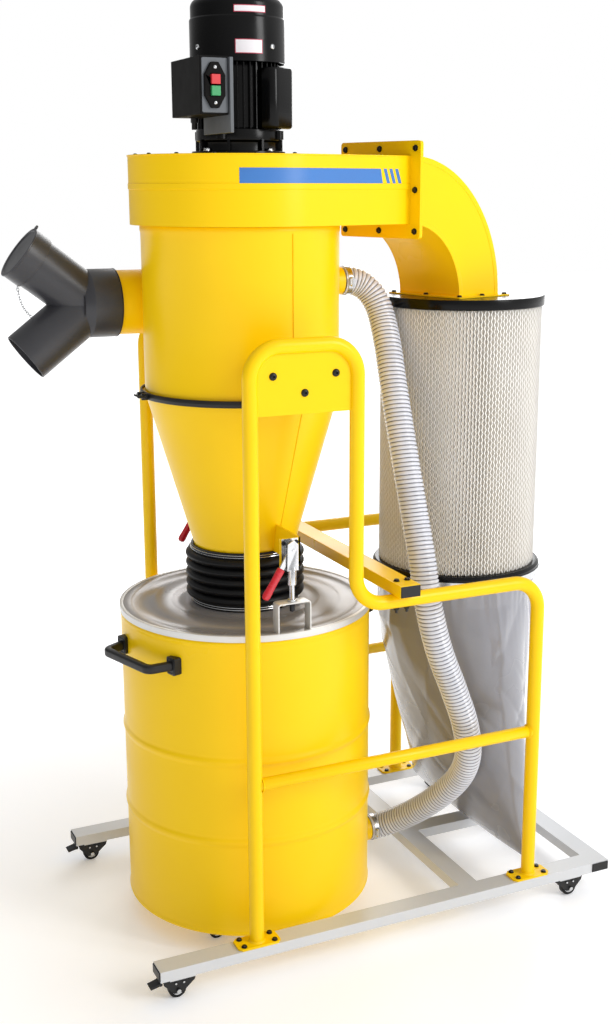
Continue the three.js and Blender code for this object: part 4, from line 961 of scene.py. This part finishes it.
def band_clamp():
    """A V-section band round both lips, closed by a hooked bolt at the left."""
    r, z = BARREL_R + 6.3, CONE_Z1
    section = rounded([(r, z - 8), (r + 4.5, z - 7), (r + 5.5, z), (r + 4.5, z + 7), (r, z + 8)],
                      1.2, 3, closed=True)
    parts = [turned(section, 160)]
    x = -r - 13
    for y in (-14, 14):
        parts.append(brick((x - 5, y - 3, z - 7), (x + 10, y + 3, z + 7)))
        nut = (x, y + (3 if y > 0 else -8), z)
        parts += placed(turned([(0, 0), (6, 0), (6, 5), (0, 5)], 6), [(nut, (0, 1, 0))])
    hook = rounded([(x, -24, z), (x - 14, -26, z + 3), (x - 24, -22, z + 7)], 6, 5)
    parts += [cylinder(3, (x, -26, z), (x, 30, z), 14),
              swept(disc(2.4, 10), hook, normal=(0, 0, 1))]
    piece("band_clamp_rolled", parts, NYLON, "root", ["band_clamp"], "black_enamel", angle=40,
          bevel=0.5)


def inlet():
    """A moulded sleeve with a rounded end, two slanting branches and a cap on the upper one."""
    root_x, tilt, reach, radius = -306.0, radians(37.5), 186.0, 57.5
    sleeve = rounded([(INLET_R + 0.5, 0), (75.5, 0), (75.5, 62), (60, 84), (56, 84),
                      (INLET_R + 0.5, 58)], 4, 4, closed=True)
    parts = [turned(sleeve, 96, (-248, INLET_Y, INLET_Z), (-1, 0, 0))]

    def at(s, d):
        return np.array([root_x - d * cos(tilt), INLET_Y, INLET_Z + s * d * sin(tilt)])

    for s in (1, -1):
        parts.append(pipe(radius, radius - 3, at(s, -24), at(s, reach), 72, lip=1.0))
    piece("inlet_wye_moulding", parts, ABS, "root", ["inlet_wye"], "black_plastic", angle=40)
    end = at(1, reach)
    out = at(1, 1) - at(1, 0)
    r = radius + 0.6
    skin = rounded([(0, 0.3), (r, 0.3), (r, -38), (r + 3.2, -38), (r + 3.2, 0), (r + 4.4, 0.5),
                    (r + 4.4, 4), (r - 2, 4), (r - 4, 1.8), (0, 1.8)], 0.7, 3)
    lip = np.cross(out, (0, 1, 0))
    tab = end + out * 2 - lip * (r + 6)
    parts = [turned(skin, 72, end, out), cylinder(7, tab - out * 2, tab + out * 2, 20)]
    piece("inlet_cap_moulding", parts, ABS, "cap", ["inlet_cap"], "black_plastic", angle=40)
    below = lip * (radius + 3)
    crotch = at(-1, 118) + np.array([-sin(tilt), 0, cos(tilt)]) * (radius + 1.5)
    chain(end - out * 34 + below, crotch)


def chain(start, stop):
    """Oval wire links along a sagging line, each a quarter turn from the last."""
    count, wire = 15, 0.9
    t = np.linspace(0, 1, count)[:, None]
    line = start + (stop - start) * t + np.array([-6, 0, -7]) * np.sin(pi * t)
    links = []
    for i, (a, b) in enumerate(zip(line[:-1], line[1:])):
        along = unit(b - a)
        across = unit(np.cross(along, (0, 1, 0))) if i % 2 else np.array([0, 1.0, 0])
        angle = np.linspace(0, 2 * pi, 16, endpoint=False)
        long = np.linalg.norm(b - a) * 0.68
        ring = ((a + b) / 2 + np.cos(angle)[:, None] * along * long
                + np.sin(angle)[:, None] * across * 2.6)
        links.append(swept(disc(wire, 6), ring, normal=np.cross(along, across), closed=True))
    obj = piece("cap_chain", links, ZINC, None, slot="zinc")
    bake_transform(obj)


# ---- toggles --------------------------------------------------------------------------------
def toggles():
    """On each side a base, a plunger and a lever with a dipped grip, leaning from its pivot."""
    for end, s in (("front", -1), ("rear", 1)):
        refined("toggle_base_" + end, ZINC, bevel=0.7)
        refined("toggle_plunger_" + end, ZINC, bevel=0.6)
        lean, pivot, y = radians(32), TOGGLE_PIVOT_Z, s * BRACKET_Y

        def along(d):
            return np.array([-d * sin(lean), y, pivot - d * cos(lean)])

        hub = cylinder(8, (0, y - 4.5, pivot), (0, y + 4.5, pivot), 24)
        side = np.array([cos(lean), 0, -sin(lean)])
        arm = [along(2) - side * 7, along(2) + side * 7, along(58) + side * 5, along(58) - side * 5]
        steel = [hub, upright([(p[0], p[2]) for p in arm], y - 2.5, y + 2.5)]
        plated("toggle_arm_" + end, steel, "toggle_" + end, bevel=0.7)
        profile = [(0, 0), (6.5, 0), (8.6, 2), (9.2, 8), (8.4, 30), (8.8, 52), (9.6, 66), (8, 73),
                   (4, 75.5), (0, 76)]
        grip = turned(profile, 32, (0, 0, 0), along(1) - along(0))
        grip = ((grip[0] * (1, 0.8, 1)) + along(46), grip[1])
        piece("toggle_grip_" + end, [grip], VINYL, "toggle_" + end, ["toggle_lever_" + end],
              "red_vinyl")
        fastened("toggle_bolts_" + end, bolts_at(hex_bolt, [
            ((dx, s * 259.8, z), (0, s, 0)) for dx in (-15, 15) for z in (912, 959)], 5))


# ---- fan and duct ---------------------------------------------------------------------------
def scroll_line(end, inset=0.0, steps=90):
    """The fan's outline: a round from the duct's inner side round to its outer side."""
    r, far = FAN_R - inset, DUCT_WIDTH - FAN_R - inset
    angle = np.linspace(asin(far / r), 1.5 * pi, steps)
    return np.vstack([[(end, far)], round_points(r, angle, 0)[:, :2], [(end, -r)]])


def in_outlet(parts):
    """Parts turned from the outlet's frame into the cyclone's."""
    return [spun(part, OUTLET_TURN * 180 / pi) for part in parts]


def flange(u):
    """A 4 mm collar round the duct's mouth, with rounded outer corners."""
    low = np.array([-FAN_R, FAN_Z0])
    high = np.array([DUCT_WIDTH - FAN_R, FAN_Z1])
    outline = panel(*(low - FLANGE_RIM), *(high + FLANGE_RIM), 8, 5)
    rays = unit(outline - outline.mean(0))
    inner = (low + high) / 2 + rays * to_box(rays, (high - low) / 2 - WALL)
    loops = ((u, outline), (u + 4, outline), (u + 4, inner), (u, inner))
    return grid(np.stack([np.column_stack([np.full(len(loop), d), loop]) for d, loop in loops]),
                wrap_u=True, wrap_v=True)


def fan():
    """The scroll wall with its joint band, the floor with the eye, the lid plate and flange."""
    z0, z1 = FAN_Z0, FAN_Z1
    seam = z0 + 74
    path = scroll_line(FLANGE_AT - 2)
    line = np.column_stack([path, 0 * path[:, 0]])
    section = np.array([(0, z0), (0, z0 + 3), (0, seam), (1.6, seam + 1), (1.6, seam + 12),
                        (0.4, seam + 13), (0.4, z1), (-WALL, z1), (-WALL, z0)])
    out = np.cross(unit(np.gradient(line, axis=0)), (0, 0, 1))
    points = (line[:, None] + out[:, None] * section[None, :, :1]
              + np.array([0, 0, 1]) * section[None, :, 1:])
    ring = scroll_line(FLANGE_AT - 2, WALL)
    closed = np.vstack([ring, np.linspace(ring[-1], ring[0], 8)[1:-1]])
    eye = unit(closed) * 100.0
    floor = collar([(closed, z0), (closed, z0 + WALL), (eye, z0 + WALL), (eye, z0)])
    parts = [grid(points, wrap_v=True, caps=True), floor, flange(FLANGE_AT - 4)]
    sheet("fan_scroll", in_outlet(parts), "fan_housing", angle=32)
    cover = [plate(scroll_line(FLANGE_AT - 5, -2.2), 3, (0, 0, z1 - 2.8)),
             turned([(0, z1), (112, z1), (110, z1 + 1.2), (0, z1 + 1.2)], 72)]
    sheet("fan_cover_plate", in_outlet(cover), "fan_cover", bevel=0.8)
    screws = bolts_at(button_bolt, [(round_points(FAN_R - 14, a, z1 + 0.2), (0, 0, 1))
                                    for a in np.linspace(0.1, 1.46 * pi, 13)], 5)
    fastened("fan_cover_screws", in_outlet(screws))


def flange_bolts():
    """Eight bolts round the two flanges: heads on one side and nuts on the other."""
    v0, v1 = -FAN_R - FLANGE_RIM / 2, DUCT_WIDTH - FAN_R + FLANGE_RIM / 2
    z0, z1 = FAN_Z0 - FLANGE_RIM / 2, FAN_Z1 + FLANGE_RIM / 2
    spots = [(v, z) for v in (v0, (v0 + v1) / 2, v1) for z in (z0, z1)]
    spots += [(v, (z0 + z1) / 2) for v in (v0, v1)]
    heads = bolts_at(hex_bolt, [((FLANGE_AT - 4, v, z), (-1, 0, 0)) for v, z in spots], 7)
    heads += bolts_at(hex_bolt, [((FLANGE_AT + 4.6, v, z), (1, 0, 0)) for v, z in spots], 7)
    fastened("duct_flange_bolts", in_outlet(heads))


def elbow():
    """A square duct turned through a right angle: inner and outer edges are quarter ellipses."""
    x0, z0 = FLANGE_AT + 0.3, cap_high[2] + 0.3
    low, high = FAN_Z0 - z0, FAN_Z1 - z0
    foot_middle = sqrt(ELBOW_X**2 - DUCT_MIDDLE**2)
    near = foot_middle - FOOT_HALF - x0
    far = near + 2 * FOOT_HALF
    y0, y1 = -FAN_R, DUCT_WIDTH - FAN_R
    a = np.linspace(0, pi / 2, 40)

    def edge(reach, height, y):
        return np.stack([x0 + reach * np.sin(a), 0 * a + y, z0 + height * np.cos(a)], 1)

    skin = [edge(far, high, y0), edge(far, high, y1), edge(near, low, y1), edge(near, low, y0)]
    core = [edge(far - WALL, high - WALL, y0 + WALL), edge(far - WALL, high - WALL, y1 - WALL),
            edge(near + WALL, low + WALL, y1 - WALL), edge(near + WALL, low + WALL, y0 + WALL)]
    parts = []
    for k, n in ((0, 1), (1, 2), (2, 3), (3, 0)):
        wall = np.stack([skin[k], skin[n], core[n], core[k]], 1)
        parts.append(grid(wall, wrap_v=True, caps=True))
    for y in (y0, y1):
        for reach, height in ((far - 5, high - 5), (near + 5, low + 5)):
            parts.append(swept(panel(-6, -0.9, 6, 0.9, 0.6, 2), edge(reach, height, y),
                               normal=(0, 1, 0)))
    parts.append(flange(x0))
    lip, left, right = 22.0, x0 + near, x0 + far
    outline = panel(left - lip, y0 - lip, right + lip, y1 + lip, 6, 4)
    centre = np.array([left + FOOT_HALF, (y0 + y1) / 2])
    rays = unit(outline - centre)
    opening = centre + rays * to_box(rays, np.array([FOOT_HALF, DUCT_WIDTH / 2]) - WALL)
    parts.append(collar([(outline, z0), (outline, z0 + 3), (opening, z0 + 3), (opening, z0)]))
    sheet("elbow_duct_sheet", in_outlet(parts), "elbow_duct", angle=32)
    spots = [(x, y) for x in (left - lip / 2, centre[0], right + lip / 2)
             for y in (y0 - lip / 2, y1 + lip / 2)]
    spots += [(x, centre[1]) for x in (left - lip / 2, right + lip / 2)]
    heads = bolts_at(hex_bolt, [((x, y, z0 + 3), (0, 0, 1)) for x, y in spots], 6)
    fastened("elbow_foot_bolts", in_outlet(heads))


def fan_stripe():
    """A plain blue bar and three slanted bars laid on the fan's front, following its wall."""
    start = -radians(111.7) - OUTLET_TURN
    arc = np.linspace(start, -pi / 2, 26)
    z_low, z_high, reach = 1697.0, 1737.0, FAN_R + 0.9

    def strip(u0, u1, lean):
        """Points between two ends whose upper edge runs further back by lean."""
        rows = []
        for z, shift in ((z_high, 0.0), (z_low, lean)):
            u = np.linspace(u0, u1, 6) + shift
            rows.append(np.column_stack([u, 0 * u - reach, 0 * u + z]))
        return rows

    top, low = strip(0, 196, 8)
    round_top, round_low = (round_points(reach, arc, z)[:-1] for z in (z_high, z_low))
    bars = [(np.vstack([round_top, top]), np.vstack([round_low, low]))]
    bars += [strip(204 + 17 * k, 213 + 17 * k, 14) for k in range(3)]
    parts = []
    for upper, lower in bars:
        behind = (0, 0.5, 0)
        loop = np.stack([upper, lower, lower + behind, upper + behind], 1)
        parts.append(grid(loop, wrap_v=True, caps=True))
    piece("fan_stripe", in_outlet(parts), STRIPE_BLUE, "root", slot="yellow_enamel", angle=30)


# ---- motor ----------------------------------------------------------------------------------
CAPACITOR_TURN = -60.0


def motor():
    """A turned housing with cooling fins, a drop-in neck with ribs and an end shield."""
    z0, top = FAN_Z1 + 0.3, edges("motor_housing")[1][2]
    zs, r = z0 + 26, 80.0
    profile = rounded([(14, z0), (102, z0), (102, z0 + 8), (86, z0 + 8), (86, zs), (92, zs + 4),
                       (92, zs + 26), (r, zs + 30), (r, top), (14, top)], 1.2, 3, closed=True)
    parts = [turned(profile, 96)]
    for i in range(40):
        parts.append(spun(brick((r - 3, -1.4, zs + 27), (89, 1.4, top - 22)), 9 * i + 4))
    for i in range(8):
        parts.append(spun(brick((84, -3, z0 + 6), (96, 3, zs + 6)), 45 * i + 10))
    for i in range(4):
        lug = turned([(0, 0), (11, 0), (11, 18), (0, 18)], 24, (92, 0, zs + 6), (0, 0, 1))
        parts.append(spun(lug, 45 + 90 * i))
    seat_z = 1900.0
    parts.append(cylinder(30, (0, 0, seat_z), round_points(91.7, radians(CAPACITOR_TURN), seat_z),
                          32))
    enamelled("motor_housing_cast", parts, "motor_housing", bevel=0.8, angle=40)
    bolts = bolts_at(hex_bolt, [(round_points(94, a, z0 + 8), (0, 0, 1))
                                for a in np.radians([22, 112, 202, 292])], 8)
    plated("motor_foot_bolts", bolts, angle=30)
    # The bracket that stands proud beside the switch box.
    box_low, box_high = edges("switch_box")
    x = box_high[0]
    strip = brick((x + 0.3, box_low[1] - 2, zs + 14), (x + 8, -30, cowl_low[2] - 2))
    piece("switch_bracket", [strip], FACE_GREY, "root", slot="black_enamel", bevel=1.2)


def cowl():
    """A deep-drawn cowl: a skirt, a step and a domed top with a ring of slots."""
    z0, top = cowl_low[2], cowl_high[2]
    step, wide, r, wall = top - 52, 102.0, 99.5, 2.5
    dome = [(r, top - 26)] + [(r - 24 + 24 * cos(a), top - 26 + 20 * sin(a))
                              for a in np.linspace(0.15, 1.35, 8)] + [(r - 34, top - 2), (60, top)]
    outer = [(wide, z0), (wide, step), (wide - 0.8, step + 2), (r, step + 4)] + dome
    inner = [(60, top - wall), (r - 34, top - wall - 1)] + [
        (r - 24 + 21.5 * cos(a), top - 28 + 18 * sin(a)) for a in np.linspace(1.3, 0.15, 6)]
    inner += [(r - wall, step + 3), (wide - wall, step - 1), (wide - wall, z0)]
    parts = [turned(outer + inner, 128)]
    for ring in (22, 34, 46, 58):
        parts.append(turned([(ring - 2.5, top - 3), (ring + 2.5, top - 3), (ring + 2.5, top - 0.6),
                             (ring - 2.5, top - 0.6)], 96))
    parts.append(turned([(0, top - 3), (13, top - 3), (13, top - 0.6), (0, top - 0.4)], 48))
    for i in range(8):
        parts.append(spun(brick((10, -3, top - 4), (62, 3, top - 1.2)), 45 * i))
    enamelled("fan_cowl_drawn", parts, "fan_cowl", angle=40)
    plated("cowl_screws", bolts_at(button_bolt, [
        (round_points(wide, a, z0 + 30), (cos(a), sin(a), 0))
        for a in np.radians([-166, -67, 25, 115])], 6))
    label("upper_label", r, -96, 66, step + 10, step + 21)
    label("lower_label", wide, -98, 56, z0 + 16, z0 + 41)


def label(name, radius, angle, width, z0, z1):
    """A blank sticker wrapped on the cowl, white inside a thin coloured border."""
    for part, grow, lift, material in (("border", 1.6, 0.35, LABEL_EDGE),
                                       ("face", 0, 0.6, LABEL_WHITE)):
        half = np.degrees((width / 2 + grow) / radius)
        a = np.radians(np.linspace(angle - half, angle + half, 14))
        loops = [round_points(r, a, z) for r, z in (
            (radius, z0 - grow), (radius + lift, z0 - grow), (radius + lift, z1 + grow),
            (radius, z1 + grow))]
        shape = grid(np.stack(loops, 1), wrap_v=True, caps=True)
        piece(f"{name}_{part}", [shape], material, "root", slot="black_enamel", angle=30)


def capacitor():
    """The capacitor's cover: a box with widely rounded outer edges, along a ray of the motor."""
    low, high = edges("capacitor_cover")
    z0, z1 = low[2], high[2]
    near, far, half, lip = 92.3, 124.0, 38.0, 6.0
    outline = np.vstack([[(near, -half)], rounded([(near + 2, -half), (far, -half), (far, half),
                                                   (near + 2, half)], 17, 9), [(near, half)]])
    middle = np.array([(near + far) / 2, 0])
    loops = []
    for z, inset in ((z0, lip), (z0 + lip * 0.3, lip * 0.3), (z0 + lip, 0), (z1 - lip, 0),
                     (z1 - lip * 0.3, lip * 0.3), (z1, lip)):
        shrunk = middle + (outline - middle) * (1 - inset / np.array([(far - near) / 2, half]))
        shrunk[:, 0] = np.where(outline[:, 0] <= near + 2, outline[:, 0], shrunk[:, 0])
        loops.append(np.column_stack([shrunk, 0 * outline[:, 0] + z]))
    cover = grid(np.stack(loops), wrap_v=True, caps=True)
    enamelled("capacitor_cover_shell", [spun(cover, CAPACITOR_TURN)], "capacitor_cover", angle=40)


def switch():
    """The switch box with its face plate and two buttons, the gland and the inner castings."""
    refined("switch_box", BOX_BLACK, bevel=1.4)
    refined("stop_button", STOP_RED, bevel=1.2)
    refined("start_button", START_GREEN, bevel=1.2)
    capacitor()
    refined("cable_gland", NYLON, bevel=0.6)
    low, high = edges("switch_box")
    x0, x1, y = low[0], high[0], low[1] + 8
    z0, z1 = low[2], high[2]
    face = plate(panel(x0 + 4, z0 + 4, x1 - 1, z1 - 4, 3, 3), 1.4, (0, y, 0), (1, 0, 0),
                 (0, 0, 1))
    piece("switch_face_plate", [face], FACE_GREY, "root", slot="black_enamel", bevel=0.4)
    plated("switch_screws", bolts_at(button_bolt, [
        (((x0 + x1) / 2, y - 8, (z0 + z1) / 2 + dz), (0, -1, 0)) for dz in (-34, 34)], 4))
    for node in ("impeller", "motor_rotor"):
        recoat(node, ALUMINIUM)


# ---- filter ---------------------------------------------------------------------------------
def filter_cartridge():
    """Pleats: r swings between crest and valley as a triangle wave; the mesh is zigzag wires."""
    z0, z1 = filter_low[2], filter_high[2]
    pleats, crest, valley = 150, FILTER_R - 3.5, FILTER_R - 16
    n = pleats * 6
    angle = np.linspace(0, 2 * pi, n, endpoint=False)
    wave = np.abs(((angle * pleats / (2 * pi)) % 1) * 2 - 1) ** 0.8
    r = valley + (crest - valley) * wave
    z = np.linspace(z0, z1, 3)
    outer = round_points(r[:, None], angle[:, None], z)
    inner = round_points(FILTER_R - 26, angle[:, None], z)[:, ::-1]
    felt = grid(np.concatenate([outer, inner], 1), wrap_u=True, wrap_v=True)
    piece("filter_pleats", [moved(felt, (FILTER_X, 0, 0))], FELT, "root", ["filter_element"],
          "filter_paper", angle=50)
    strands, rise = 152, 7.8
    steps = int((z1 - z0) / rise)
    height = np.linspace(z0 + 1, z1 - 1, steps + 1)
    k = np.arange(steps + 1)
    swing = 0.5 * (2 * pi / strands) * 0.5
    section = np.array([(-0.9, 0), (0.5, 0.8), (0.5, -0.8)])
    base_angle = 2 * pi * np.arange(strands) / strands
    sign = np.where((k[None] + np.arange(strands)[:, None]) % 2 == 0, 1, -1)
    around = base_angle[:, None] + swing * sign * 0.92
    radial = round_points(1, around, 0)
    sideways = round_points(1, around + pi / 2, 0)
    points = (round_points(FILTER_R - 1.2, around, height)[:, :, None]
              + radial[:, :, None] * section[:, :1] + sideways[:, :, None] * section[:, 1:])
    wires = [moved(grid(strand, wrap_v=True, caps=True), (FILTER_X, 0, 0)) for strand in points]
    piece("filter_mesh", wires, MESH, "root", slot="filter_paper", angle=80)


def filter_ends():
    """A flat black cap with a rolled rim, and the ring that the bag is strapped to."""
    z1, z0 = cap_high[2], cap_low[2]
    r = FILTER_R + 5
    parts = [turned(panel(FILTER_R - 14, z0, r, z1, 3.0, 5), 128, (FILTER_X, 0, 0))]
    # The top sheet: a disc with the duct's opening, as rays between the hole and the rim.
    centre = np.array([ELBOW_X, 0])
    c, s = cos(OUTLET_TURN), sin(OUTLET_TURN)
    angle = np.linspace(0, 2 * pi, 144, endpoint=False)
    rim = round_points(FILTER_R - 10, angle, 0)[:, :2] + (FILTER_X, 0)
    rays = unit(rim - centre)
    local = rays @ np.array([[c, -s], [s, c]])
    hole = centre + rays * to_box(local, np.array([FOOT_HALF, DUCT_WIDTH / 2]) - WALL)
    parts.append(collar([(rim, z1 - 3), (rim, z1 - 0.1), (hole, z1 - 0.1), (hole, z1 - 3)]))
    enamelled("filter_cap_pressed", parts, "filter_top_cap", angle=35)
    r, low, z = FILTER_R, ring_low[2], ring_high[2]
    ring = rounded([(r - 28, z), (r + 9, z), (r + 14, z - 6), (r + 14, low), (r + 11, low),
                    (r + 11, z - 8), (r + 8, z - 3), (r - 28, z - 3)], 1.2, 3, closed=True)
    enamelled("filter_ring_rolled", [turned(ring, 128, (FILTER_X, 0, 0))], "filter_bottom_ring",
              angle=35)
    refined("bag_strap", ZINC, bevel=0.6)


def dust_bag():
    """A film tube: round at the mouth and drawn to a straight seam, with folds laid over it.

    Each fold lowers the film along a slanting line by depth * exp(-(distance / width)^2), and
    small pleats fan out below the strap as a fading wave round the mouth.
    """
    z0, z1 = bag_low[2], bag_high[2]
    rows, columns = 150, 240
    t = np.linspace(0, 1, rows)[:, None]
    angle = np.linspace(0, 2 * pi, columns, endpoint=False)[None]
    mouth, thickness, half_seam, shift = FILTER_R + 10, 9.0, 285.0, 50.0
    opened = np.minimum(t / 0.8, 1) ** 0.6
    half_x = thickness + (mouth - 10 - thickness) * opened + 9 * np.maximum(0, (t - 0.9) / 0.1)
    half_y = half_seam + (mouth - half_seam) * np.minimum(t / 0.9, 1)
    x = np.cos(angle) * half_x + shift * (1 - np.minimum(t / 0.8, 1))
    y = np.sin(angle) * half_y
    z = z0 + (z1 - z0) * t + 0 * angle
    draw = np.random.default_rng(7)
    girth = 1300
    s = angle / (2 * pi) * girth
    h = z - z0
    ripple = 0 * h
    for _ in range(46):
        lean = draw.uniform(-1.1, 1.1)
        at_s, at_h = draw.uniform(0, girth), draw.uniform(30, 690)
        width, length = draw.uniform(7, 26), draw.uniform(70, 230)
        depth = draw.uniform(2.0, 5.5) * draw.choice([-1, 1], p=[0.6, 0.4])
        ds = (s - at_s + girth / 2) % girth - girth / 2
        dh = h - at_h
        across = ds * cos(lean) + dh * sin(lean)
        along = -ds * sin(lean) + dh * cos(lean)
        ripple = ripple + depth * np.exp(-np.abs(across / width) ** 1.3 - (along / length) ** 2)
    gathers = 2.4 * np.sin(angle * 44 + 3 * np.sin(angle * 5)) * np.exp(-(1 - t) * 16)
    billow = (4 * np.sin(angle * 3 + 1.0) + 3 * np.sin(angle * 5 + 4 * t)) * np.sin(pi * t)
    fade = np.clip(t / 0.12, 0, 1) * np.clip((1 - t) / 0.02, 0.3, 1)
    push = (ripple + billow) * fade + gathers - 3 * fade
    scale = 1 + push / np.maximum(np.hypot(half_x, half_y) * 0.7, 60)
    points = np.stack([FILTER_X + x * scale + 0 * t, y * scale, z + 0 * t], -1)
    piece("dust_bag_film", [grid(points, wrap_v=True, caps=True)], FILM, "root", ["dust_bag"],
          "bag_film", angle=60)


# ---- stage ----------------------------------------------------------------------------------
def studio_sky():
    """White behind the object; as light, dim at the left and the back and bright to the right."""
    world = bpy.data.worlds.new("studio")
    bpy.context.scene.world = world
    world.use_nodes = True
    tree = world.node_tree
    tree.nodes.clear()
    way = put(tree, "TexCoord").outputs["Generated"]
    side = put(tree, "VectorMath", {0: way, 1: (0.80, -0.42, 0.42)}, operation="DOT_PRODUCT")
    level = put(tree, "MapRange", {"Value": side.outputs["Value"], "From Min": -0.9,
                                   "From Max": 0.9, "To Min": SKY_DIM, "To Max": SKY_BRIGHT})
    light = put(tree, "Background", {"Color": (1, 1, 1, 1), "Strength": level.outputs[0]})
    white = put(tree, "Background", {"Color": (1, 1, 1, 1), "Strength": 1.0})
    seen = put(tree, "LightPath").outputs["Is Camera Ray"]
    mixed = put(tree, "MixShader", {0: seen, 1: light.outputs[0], 2: white.outputs[0]})
    put(tree, "OutputWorld", {"Surface": mixed.outputs[0]})


def stage():
    """A pale floor that glows with distance, a white sky, a large key lamp and one behind."""
    bpy.ops.mesh.primitive_plane_add(size=40, location=(0, 0, 0))
    floor = bpy.context.object
    floor.name = "floor"
    paint = finish("pale studio floor", "#F7F7F8", "#F5F5F6", 0.7, 8.0, 0.01,
                   emission_color=(1, 1, 1, 1))
    tree = paint.node_tree
    away = put(tree, "VectorMath", {0: put(tree, "TexCoord").outputs["Object"]}, operation="LENGTH")
    glow = put(tree, "MapRange", {"Value": away.outputs["Value"], "From Min": 0.7, "From Max": 3.0,
                                  "To Min": 0.2, "To Max": 0.7})
    tree.links.new(glow.outputs[0], tree.nodes["Principled BSDF"].inputs["Emission Strength"])
    floor.data.materials.append(paint)
    studio_sky()

    def lamp(name, place, target, width, height, watts):
        data = bpy.data.lights.new(name, "AREA")
        data.shape = "RECTANGLE"
        data.size, data.size_y, data.energy = width, height, watts
        obj = bpy.data.objects.new(name, data)
        obj.location = place
        obj.rotation_euler = (Vector(target) - Vector(place)).to_track_quat("-Z", "Y").to_euler()
        bpy.context.scene.collection.objects.link(obj)

    lamp("key", (2.4, -3.6, 3.0), (0, 0, 1.0), 1.2, 2.6, 95)
    lamp("back", (1.8, 3.2, 2.4), (0, 0, 1.0), 2.0, 2.0, 40)


# ---- the whole ------------------------------------------------------------------------------
add_camera()
balance_hose()
base()
side_frame("front_side_frame", -1)
side_frame("rear_side_frame", 1)
cross_beam()
castors()
drum()
drum_handle("drum_handle_left")
drum_handle("drum_handle_right")
lid()
bellows()
cone()
barrel()
band_clamp()
inlet()
toggles()
fan()
flange_bolts()
elbow()
fan_stripe()
motor()
cowl()
switch()
filter_cartridge()
filter_ends()
dust_bag()
stage()
bpy.context.scene.view_settings.view_transform = "Standard"
